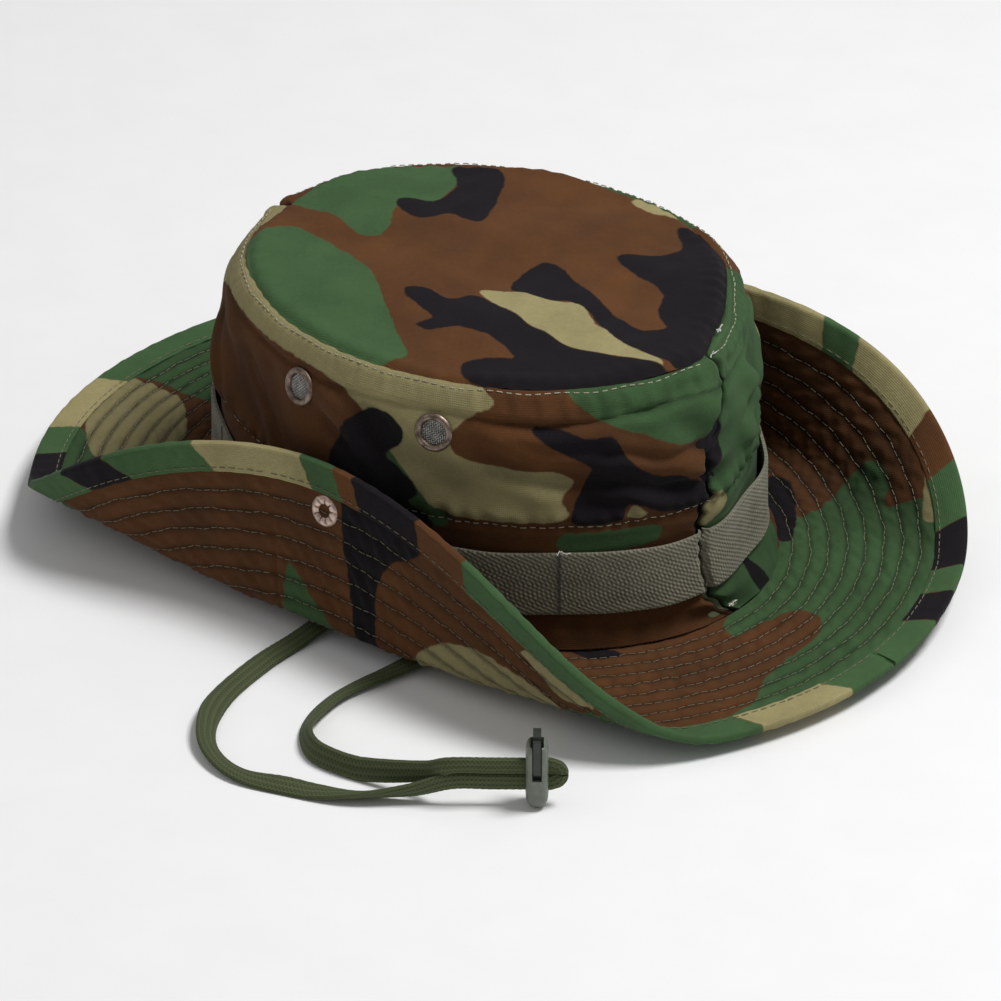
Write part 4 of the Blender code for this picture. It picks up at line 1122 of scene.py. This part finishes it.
def face_height(polar, radius, share, layer):
    """How far one ply's outer face stands from the brim's middle, pressed flat round each snap."""
    seed = 61 if layer == "upper" else 71
    relief = quilt_relief(polar, radius, share, seed) - seam_dip(polar)
    for side, reach in SNAP_REACH.items():
        away = np.hypot(radius * np.cos(polar) - SNAP_X, radius * np.sin(polar) - side * reach)
        relief = relief * smooth(6.0, 10.0, away)
    return np.clip(0.55 + relief, 0.3, 1.75)


def brim_painted_shade(share):
    """Painted shade on the brim: slightly darker all over, and darker still along the quilting lines, with
    no extra beyond them.
    """
    row = (share - QUILT_FIRST) / QUILT_STEP
    quilted = smooth(-0.5, 0.0, row) * (1 - smooth(QUILT_ROWS - 1.0, QUILT_ROWS - 0.5, row))
    return 0.16 + quilted * 0.45 * bell(np.sin(math.pi * row), 0.45)


def brim_cloth(name, side, first, last, layer):
    """One ply of one quarter of the brim."""
    shares = np.linspace(0.0, 1.0, 84)
    polar, share, radius = brim_grid(first, last, shares)
    middle, normal = wavy_brim(polar, radius, share)
    face = 1.0 if layer == "upper" else -1.0
    outer = face_height(polar, radius, share, layer)
    front = middle + normal * (face * outer)[..., None]
    back = middle + normal * face * 0.08
    points, faces = shell_part(front, back)
    x, y = radius * np.cos(polar), radius * np.sin(polar)
    fields = print_fields(x, y, UPPER_PRINT if layer == "upper" else UNDER_PRINT)
    # Painted shadow of the crown: the upper face is darker at the front left, beyond y 50 mm, and at the
    # rear, beyond x -90 mm.
    painted_crown_shadow = 0.26 * smooth(50.0, 85.0, y) * smooth(-20.0, 20.0, x) + 0.16 * smooth(90.0, 125.0, -x)
    fields["painted_shade"] = brim_painted_shade(share) + (painted_crown_shadow if layer == "upper" else 0.0)
    cloth = cloth_place(x, y)
    half = "front" if name.startswith("front") else "rear"
    item = make_piece("brim_" + layer + "_cloth_" + name, points, faces, CAMO, None,
                      both_faces(fields, cloth))
    hang_on_fold(item)
    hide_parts("brim_" + layer + "_" + half, SIDE_NAME[side] + "_side_" + layer + "_" + half)


def brim_line(first, last, share_at, offset, layer=None):
    """A line along the brim at a share of its width, at an offset or on one ply's outer face."""
    count = max(40, int(abs(last - first) * 150 / 1.2))
    polar = np.linspace(first, last, count)
    share = share_at(polar)
    radius = brim_radius(polar, share)
    middle, normal = wavy_brim(polar, radius, share)
    height = offset + 0 * polar
    if layer:
        height = face_height(polar, radius, share, layer) * np.sign(offset)
    return middle + normal * height[:, None], normal * np.sign(offset)


def brim_quilting(name, first, last, layer):
    """The quilting stitches of one quarter on one face."""
    face = 1.0 if layer == "upper" else -1.0
    parts = []
    for row in range(QUILT_ROWS):
        def share_at(polar, row=row):
            sway = 0.005 * np.sin(polar * 31 + row * 2.0) + 0.003 * np.sin(polar * 83 + row * 5.0)
            return QUILT_FIRST + QUILT_STEP * row + sway
        path, normal = brim_line(first + 0.002, last - 0.002, share_at, face, layer)
        parts.append(stitch_part(path, normal, STITCH, STITCH_GAP, THREAD, lift=0.14))
    points, faces = join_parts(parts)
    item = make_piece("brim_" + layer + "_quilting_" + name, points, faces, THREAD_PALE, None)
    hang_on_fold(item)


def binding_outline(polar, arc):
    """Sections of the folded binding, soft at its edges and slightly puckered."""
    inner_half, outer_half = 1.05, 1.55
    insets = (BINDING_WIDTH, BINDING_WIDTH - 0.5, 8.3, 7.0, 5.2, 3.4, 1.8, 0.8)
    outline = [(insets[0], inner_half + 0.15)]
    outline += [(inset, outer_half) for inset in insets[1:]]
    outline += [(0.2, 1.15), (0.0, 0.45), (0.0, -0.45), (0.2, -1.15)]
    outline += [(inset, -outer_half) for inset in reversed(insets[1:])]
    outline += [(insets[0], -inner_half - 0.15)]
    outline += [(insets[0], -inner_half + 0.1), (4.0, -inner_half + 0.1), (0.7, -0.6), (0.7, 0.6),
                (4.0, inner_half - 0.1), (insets[0], inner_half - 0.1)]
    rows, places = [], []
    for inset, height in outline:
        radius = hem_radius(polar, inset)
        middle, normal = wavy_brim(polar, radius, np.clip(width_share(polar, radius), 0, 1))
        outside = abs(height) > inner_half
        stitched = bell(inset - BINDING_SEAM, 0.8)
        relief = 0.16 * ripple(arc, inset, 6.0, 81, 0.35, 0.3) - 0.25 * stitched if outside else 0.0
        rows.append(middle + normal * (height + np.sign(height) * relief)[:, None]
                    if outside else middle + normal * height)
        places.append(inset if height >= 0 else -inset)
    return np.stack(rows, 1), np.array(places)


def brim_binding(name, side, first, last):
    """Folded cloth tape over the hem of one quarter, with its stitches."""
    polar = np.linspace(first, last, int(abs(last - first) * 150 / 1.4))
    arc = polar * 150.0
    rings, places = binding_outline(polar, arc)
    points, faces = tube_part(rings)
    hem_turn = np.degrees(np.arctan2(HEM_FRONT * np.sin(polar), HEM_SIDE * np.cos(polar)))
    turn = hem_turn[:, None] + 0.0 * places
    if first == -math.pi:
        turn[turn > 90] -= 360.0
    if last == math.pi:
        turn[turn < -90] += 360.0
    fields = binding_fields(turn, places * 0.22)
    fields["cloth"] = cloth_place(arc[:, None], places).reshape(-1, 3)
    front = name.startswith("front")
    item = make_piece("hem_binding_" + name, points, faces, CAMO, None,
                      fields)
    hang_on_fold(item)
    half = "front" if front else "rear"
    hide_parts("brim_binding_" + half, SIDE_NAME[side] + "_side_binding_" + half)
    parts = []
    for face in (1.0, -1.0):
        def share_at(polar):
            return width_share(polar, hem_radius(polar, BINDING_SEAM))
        path, normal = brim_line(first + 0.004, last - 0.004, share_at, face * 1.42)
        parts.append(stitch_part(path, normal, 2.6, 0.9, 0.16, lift=0.12))
    points, faces = join_parts(parts)
    threads = make_piece("hem_stitching_" + name, points, faces, THREAD_PALE, None)
    hang_on_fold(threads)


# ---------------------------------------------------------------- chin cord

def cord_section(path, twist, half_width, half_height, sides=28):
    """Rings of a flattened braided tube; twist turns the flat side from level to upright."""
    ahead = unit(np.gradient(path, axis=0))
    level = unit(np.cross(ahead, UP) + np.array([1e-6, 0, 0]))
    up = np.cross(level, ahead)
    wide = level * np.cos(twist)[:, None] + up * np.sin(twist)[:, None]
    thin = np.cross(ahead, wide)
    turns = np.arange(sides) / sides * TAU
    distance = along_path(path)
    strands = np.abs(np.sin(distance[:, None] * 1.35 + turns[None, :] * 4)) \
        + np.abs(np.sin(distance[:, None] * 1.35 - turns[None, :] * 4))
    grow = 1.0 + 0.03 * (strands - 1.2)
    square = (np.abs(np.cos(turns)) ** 2.6 + np.abs(np.sin(turns)) ** 2.6) ** (-1 / 2.6)
    across = (half_width[:, None] * square * np.cos(turns))[..., None] * grow[..., None]
    through = (half_height[:, None] * square * np.sin(turns))[..., None] * grow[..., None]
    rings = path[:, None] + wide[:, None] * across + thin[:, None] * through
    around = turns * 3.2
    return rings, cloth_place(distance[:, None], around)


def make_cord(name, node, rows, body):
    """Cord along (x, y, z, degrees of twist, slimness) rows."""
    path = smooth_path(rows, 14)
    twist = np.radians(path[:, 3])
    slim = path[:, 4]
    half_width, half_height = CORD_HALF_WIDTH * (1 - 0.28 * slim), CORD_HALF_HEIGHT * (1 + 0.1 * slim)
    reach_down = np.hypot(half_width * np.sin(twist), half_height * np.cos(twist)) * 1.06
    path[:, 2] = np.maximum(path[:, 2], GROUND_Z + reach_down)
    rings, cloth = cord_section(path[:, :3], twist, half_width, half_height)
    points, faces = tube_part(rings)
    item = make_piece(name, points, faces, CORD, body, {"cloth": cloth.reshape(-1, 3)})
    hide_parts(node)


def lock_place(along, z):
    return LOCK_X + along * math.cos(LOCK_TURN), LOCK_Y + along * math.sin(LOCK_TURN), z


def chin_cord():
    z = CORD_Z
    make_cord("chin_cord_anchor_right", "chin_cord_end_right",
              [(-4, -74.3, 9, 0, 0), (-4, -74.3, 2, 0, 0), (-4.3, -75.2, -2.3, 0, 0), (-5, -78.5, z, 0, 0),
               (-6.2, CORD_HINGE_Y + 0.3, z, 0, 0)], "hat")
    inside = [(88 * math.cos(turn), 68 * math.sin(turn), z, 0, 0)
              for turn in (math.radians(degrees) for degrees in range(72, -61, -22))]
    make_cord("chin_cord_anchor_left", "chin_cord_end_left",
              [(0, 74.3, 9, 0, 0), (0, 74.3, 2, 0, 0), (1.5, 73.4, -2.3, 0, 0), (8, 70, z, 0, 0)] + inside
              + [(36, -74, z, 0, 0), (32.7, CORD_HINGE_Y + 0.3, z, 0, 0)], "hat")
    begin = CORD_HINGE_Y - 0.3
    low, edge = -4.9, -2.6          # height of the lace's middle where it lies flat or on edge
    rows = [(-6.3, begin, z, 0, 0), (-7, -98, low, 4, 0), (-7, -115.5, low, 8, 0), (-4, -138, low, 12, 0),
            (3.5, -155, -4.3, 40, 0), (14, -166.5, -4.2, 28, 0.2), (29, -171.5, low, 8, 0.2),
            (47, -168, low, -18, 0.3), (66, -160.5, -4.0, 22, 0), (81.5, -150.5, -1.5, 60, 0.6)]
    rows += [(*lock_place(along, LOWER_RUN_Z), 90, 1) for along in (-STRAIGHT_RUN, -14.0, 0.0)]
    middle, reach = (LOWER_RUN_Z + UPPER_RUN_Z) / 2, (UPPER_RUN_Z - LOWER_RUN_Z) / 2
    rows += [(*lock_place(4.3 + reach * math.cos(turn), middle + reach * math.sin(turn)), 90, 1)
             for turn in (math.radians(degrees) for degrees in (-90, -30, 30, 90))]
    rows += [(*lock_place(along, UPPER_RUN_Z), 90, 1) for along in (0.0, -14.0, -STRAIGHT_RUN)]
    rows += [(83.5, -144, 3.2, 78, 0.5), (65.5, -148, -1.4, 72, 0), (54, -150, edge, 76, 0),
             (42.5, -149, edge, 70, 0), (33.5, -142, edge, 62, 0.2), (28, -130.5, -3.8, 30, 0.8),
             (26, -115.5, -4.2, 24, 0.7), (28, -101, low, 12, 0.2), (32.7, begin, z, 0, 0)]
    make_cord("chin_cord_lace", "chin_cord_loop", rows, "chin_cord")


# ---------------------------------------------------------------- cord lock

def lock_matrix():
    return Matrix.Translation((LOCK_X, LOCK_Y, 0.0)) @ Matrix.Rotation(LOCK_TURN, 4, "Z")


def pill_part(half_x, half_y, low, high, bottom_round, top_round, steps=48):
    """Upright rounded body, pointed at its bottom and narrowing at its top, in the lock's own axes."""
    turns = np.arange(steps) / steps * TAU
    square = (np.abs(np.cos(turns)) ** 3.2 + np.abs(np.sin(turns)) ** 3.2) ** (-1 / 3.2)
    profile = [(low + bottom_round * (1 - math.cos(share * math.pi / 2)),
                0.10 + 0.90 * math.sin(share * math.pi / 2) ** 0.8) for share in np.linspace(0, 1, 10)]
    profile += [((low + high) / 2, 1.0)]
    profile += [(high - top_round * (1 - math.sin(share * math.pi / 2)),
                 0.62 + 0.38 * math.cos(share * math.pi / 2) ** 0.7) for share in np.linspace(0, 1, 8)]
    return np.array([[(half_x * width * s * math.cos(t), half_y * width * s * math.sin(t), height)
                      for t, s in zip(turns, square)] for height, width in profile])


def local_box(low, high):
    """Corners of a box as two rings, for a cutter in the lock's own axes."""
    (x0, y0, z0), (x1, y1, z1) = low, high
    return np.array([[(x0, y0, z), (x1, y0, z), (x1, y1, z), (x0, y1, z)] for z in (z0, z1)], float)


def lock_tool(low, high):
    return cut_tool(local_box(low, high), lock_matrix())


def cord_lock():
    """Rounded barrel with its cord window, bore and tongue slot."""
    points, faces = tube_part(pill_part(3.6, 4.7, LOCK_BOTTOM, LOCK_TOP, 4.6, 3.2))
    barrel = make_piece("cord_lock_shell", place_points(points, lock_matrix()), faces, PLASTIC,
                        "cord_lock", sharp=35.0)
    for low, high in (((-2.1, -3.2, LOCK_BOTTOM + 0.9), (2.1, 3.2, LOCK_TOP + 1)),
                      ((-5, -1.9, -0.9), (5, 1.9, 11.5)),
                      ((-1.5, -6, 5.0), (1.5, -2.0, LOCK_TOP + 1))):
        apply_boolean(barrel, lock_tool(low, high), "DIFFERENCE")
    soften(barrel, 0.18)
    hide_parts("cord_lock_barrel")


def lock_plunger():
    """Sprung tongue with a rib that runs in the barrel's slot, and a window for the cord."""
    points, faces = tube_part(local_box((-1.25, -2.6, -2.0), (1.25, 2.6, LOCK_TOP + 3.6)))
    tongue = make_piece("cord_lock_tongue", place_points(points, lock_matrix()), faces, DARK_PLASTIC,
                        "lock_plunger", sharp=35.0)
    apply_boolean(tongue, lock_tool((-1.2, -4.4, 7.2), (1.2, 0.0, LOCK_TOP + 2.2)), "UNION")
    apply_boolean(tongue, lock_tool((-3, -1.7, -0.7), (3, 1.7, 13.7)), "DIFFERENCE")
    soften(tongue, 0.45)
    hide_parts("cord_lock_plunger")


def lock_spring():
    """Coil spring under the tongue, at a single fixed length."""
    low, high, turns = -4.55, -2.52, 3.5
    turn = np.linspace(0, TAU * turns, 110)
    rise = low + (high - low) * smooth(0.06, 0.94, turn / turn[-1])
    coil = np.stack([1.25 * np.cos(turn), 1.25 * np.sin(turn), rise], -1)
    path = place_points(coil, lock_matrix())
    points, faces = thread_tube(path, UP, 0.2, 10)
    spring = make_piece("cord_lock_coil", points, faces, STEEL, "cord_lock")
    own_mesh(spring)
    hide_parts("cord_lock_spring")


def soften(item, width):
    """Small rounded edges on a hard piece."""
    bevel = item.modifiers.new("edges", "BEVEL")
    bevel.width = width * MM
    bevel.segments = 2
    bevel.limit_method = "ANGLE"
    bevel.angle_limit = math.radians(40)
    bevel.harden_normals = False


# ---------------------------------------------------------------- metal

def vents():
    """Turned eyelet rims with woven wire screens and inner washers."""
    rim = [(4.25, 1.0), (4.6, 1.55), (5.3, 1.75), (6.0, 1.5), (6.45, 1.0), (6.5, 0.75), (4.95, 0.75),
           (4.9, -2.4), (5.7, -2.5), (5.65, -2.9), (4.3, -2.9), (4.15, -2.3), (4.15, 0.6)]
    washer = [(5.2, -1.45), (6.3, -1.45), (6.5, -1.6), (6.5, -2.0), (6.3, -2.1), (5.2, -2.1)]
    for side in (-1, 1):
        for place_name, x in zip(("rear", "front"), VENT_X):
            matrix = wall_stand(side, x, VENT_Z)
            node = "vent_" + SIDE_NAME[side] + "_" + place_name
            for part, profile, finish, slot in (("eyelet", rim, BRONZE, "bronze"),
                                                ("washer", washer, STEEL, "steel")):
                points, faces = turned_part(profile, matrix)
                item = make_piece(node + "_" + part + "_turned", points, faces, finish, "hat")
                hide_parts(node + "_" + part)
            points, faces = screen_part()
            item = make_piece(node + "_wire_screen", place_points(points, matrix), faces, STEEL, "hat")
            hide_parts(node + "_screen")


def screen_part(pitch=0.62, wire=0.16, reach=4.15):
    """Wires woven over and under each other, trimmed to a disc, in the vent's own axes."""
    parts = []
    count = int(reach / pitch)
    for turned_over in (False, True):
        for index in range(-count, count + 1):
            place = index * pitch
            half = math.sqrt(max(reach ** 2 - place ** 2, 0.0))
            if half < pitch:
                continue
            along = np.arange(-half, half + 0.1, pitch / 4)
            phase = math.pi * (index + (1 if turned_over else 0))
            height = 0.35 + 0.16 * np.cos(along / pitch * math.pi + phase)
            flat = np.full_like(along, place)
            path = np.stack([flat, along, height] if turned_over else [along, flat, height], -1)
            parts.append(thread_tube(path, UP, wire, 5))
    return join_parts(parts)


def flap_snap_place(side):
    """Place on the folded side that meets the stud, and the normal facing the crown."""
    reach = SNAP_REACH[side]
    centre, axis = brim_surface(np.array(math.atan2(side * reach, SNAP_X)),
                                np.array(math.hypot(reach, SNAP_X)))
    return centre, axis if axis[1] * side < 0 else -axis


def prong_ring_part(prongs=9, steps=108):
    """Clinched ring whose rolled lip is split into prongs round a dark eye."""
    face = -1.25
    profile = [(2.5, face + 0.5), (2.5, face - 0.1), (1.9, face - 0.25), (1.95, face - 0.65),
               (2.5, face - 1.0), (3.2, face - 1.15), (3.9, face - 0.95), (4.45, face - 0.5),
               (4.6, face - 0.1), (4.3, face + 0.1), (2.9, face + 0.15)]
    rings = []
    for turn in np.arange(steps) / steps * TAU:
        split = math.exp(-(math.sin(prongs * turn / 2) / 0.27) ** 2)
        row = []
        for radius, height in profile:
            radius = radius * RING_SIZE
            lip = max(0.0, min(1.0, (5.1 - radius) / 1.4)) * (1.0 if height < face - 0.15 else 0.0)
            row.append((radius * math.cos(turn), radius * math.sin(turn), height + 0.7 * split * lip))
        rings.append(row)
    points = np.array(rings).reshape(-1, 3)
    faces = outward(points, grid_faces(steps, len(profile), True, True))
    return points, [tuple(face) for face in faces.tolist()]


def snaps():
    """Pronged ring outside and socket inside each folded side, stud and post on the crown."""
    face = 1.25
    socket = [(2.75, face + 2.4), (3.1, face + 2.6), (3.8, face + 2.6), (4.3, face + 2.2),
              (4.5, face + 1.6), (4.5, face), (2.75, face)]
    stud = [(0.02, 5.9), (1.3, 5.9), (1.9, 5.7), (2.2, 5.2), (2.1, 4.7), (1.85, 4.2), (1.85, 2.2),
            (2.4, 1.7), (4.6, 1.5), (5.0, 1.2), (5.1, 0.8), (0.02, 0.8)]
    for side in (-1, 1):
        body = SIDE_NAME[side] + "_side"
        node = "snap_" + SIDE_NAME[side]
        centre, axis = flap_snap_place(side)
        matrix = frame_matrix(centre, axis)
        points, faces = prong_ring_part()
        points = place_points(points, matrix)
        ring = make_piece(node + "_prong_ring", points, faces, SNAP_BRONZE, body)
        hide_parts(node + "_ring")
        points, faces = turned_part(socket, matrix)
        item = make_piece(node + "_spring_socket", points, faces, STEEL, body)
        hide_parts(node + "_socket")
        points, faces = turned_part(stud, wall_stand(side, SNAP_X, SNAP_Z))
        item = make_piece(node + "_stud_turned", points, faces, STEEL, "hat")
        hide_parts(node + "_stud")


def keep_cad_pieces():
    """Better finishes on the CAD pieces whose shape is right."""
    for name in ("snap_right_post", "snap_left_post"):
        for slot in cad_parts[name].material_slots:
            slot.material = BRONZE


# ---------------------------------------------------------------- stage, light and camera

def stage(floor_z):
    """Pale sweep of floor under the hat."""
    mesh = bpy.data.meshes.new("floor")
    size = 6.0
    mesh.from_pydata([(-size, -size, floor_z), (size, -size, floor_z), (size, size, floor_z),
                      (-size, size, floor_z)], [], [(0, 1, 2, 3)])
    n = Nodes("paper_floor")
    where = n.add("ShaderNodeTexCoord").outputs["Object"]
    shade = n.span(n.noise(where, 40.0, 2.0), 0.3, 0.7, 0.93, 0.95)
    n.put(n.shader.inputs["Base Color"], n.grey(shade))
    n.put(n.shader.inputs["Roughness"], 0.9)
    mesh.materials.append(n.material)
    floor = bpy.data.objects.new("floor", mesh)
    bpy.context.scene.collection.objects.link(floor)


def light(name, place, target, size, power, colour=(1.0, 1.0, 1.0)):
    lamp = bpy.data.lights.new(name, "AREA")
    lamp.energy, lamp.size, lamp.color = power, size, colour
    item = bpy.data.objects.new(name, lamp)
    item.location = place
    item.rotation_euler = (Vector(target) - Vector(place)).to_track_quat("-Z", "Y").to_euler()
    bpy.context.scene.collection.objects.link(item)


def lights():
    world = bpy.data.worlds.new("studio")
    world.use_nodes = True
    world.node_tree.nodes["Background"].inputs["Color"].default_value = (1.0, 1.0, 1.0, 1.0)
    world.node_tree.nodes["Background"].inputs["Strength"].default_value = 0.27
    bpy.context.scene.world = world
    target = (0.0, 0.0, 0.04)
    light("key", (0.72, 0.42, 1.75), target, 0.6, 29.0)
    light("fill", (-1.2, -1.0, 1.2), target, 1.4, 3.0)


def camera():
    azimuth, elevation, distance = math.radians(37.5), math.radians(30.0), 2.5
    target = Vector((0.0106, -0.0105, 0.0145))
    back = Vector((math.sin(azimuth) * math.cos(elevation), -math.cos(azimuth) * math.cos(elevation),
                   math.sin(elevation)))
    lens = bpy.data.cameras.new("camera")
    lens.lens, lens.sensor_width = 272.0, 36.0
    item = bpy.data.objects.new("camera", lens)
    item.location = target + back * distance
    item.rotation_euler = (-back).to_track_quat("-Z", "Y").to_euler()
    bpy.context.scene.collection.objects.link(item)
    bpy.context.scene.camera = item


# ---------------------------------------------------------------- the hat

for side in (-1, 1):
    crown_side(side)
crown_top()
wall_stitches()
seam_backing()
wall_ring("sweatband_cotton", "sweatband", 2.4, 34.0, -1.35, 1.0, 30, LINING)
wall_ring("top_seam_tape", "crown_top_seam_tape", 84.0, 89.0, -1.35, 0.8, 8, LINING)
branch_loop_band()
band_tacks()
thread_tails()
for name, side, first, last in quarters():
    for layer in ("upper", "under"):
        brim_cloth(name, side, first, last, layer)
        brim_quilting(name, first, last, layer)
    brim_binding(name, side, first, last)
chin_cord()
cord_lock()
lock_plunger()
lock_spring()
vents()
snaps()
keep_cad_pieces()
stage(FLOOR_Z * MM)
lights()
camera()
bpy.context.scene.view_settings.view_transform = "Standard"
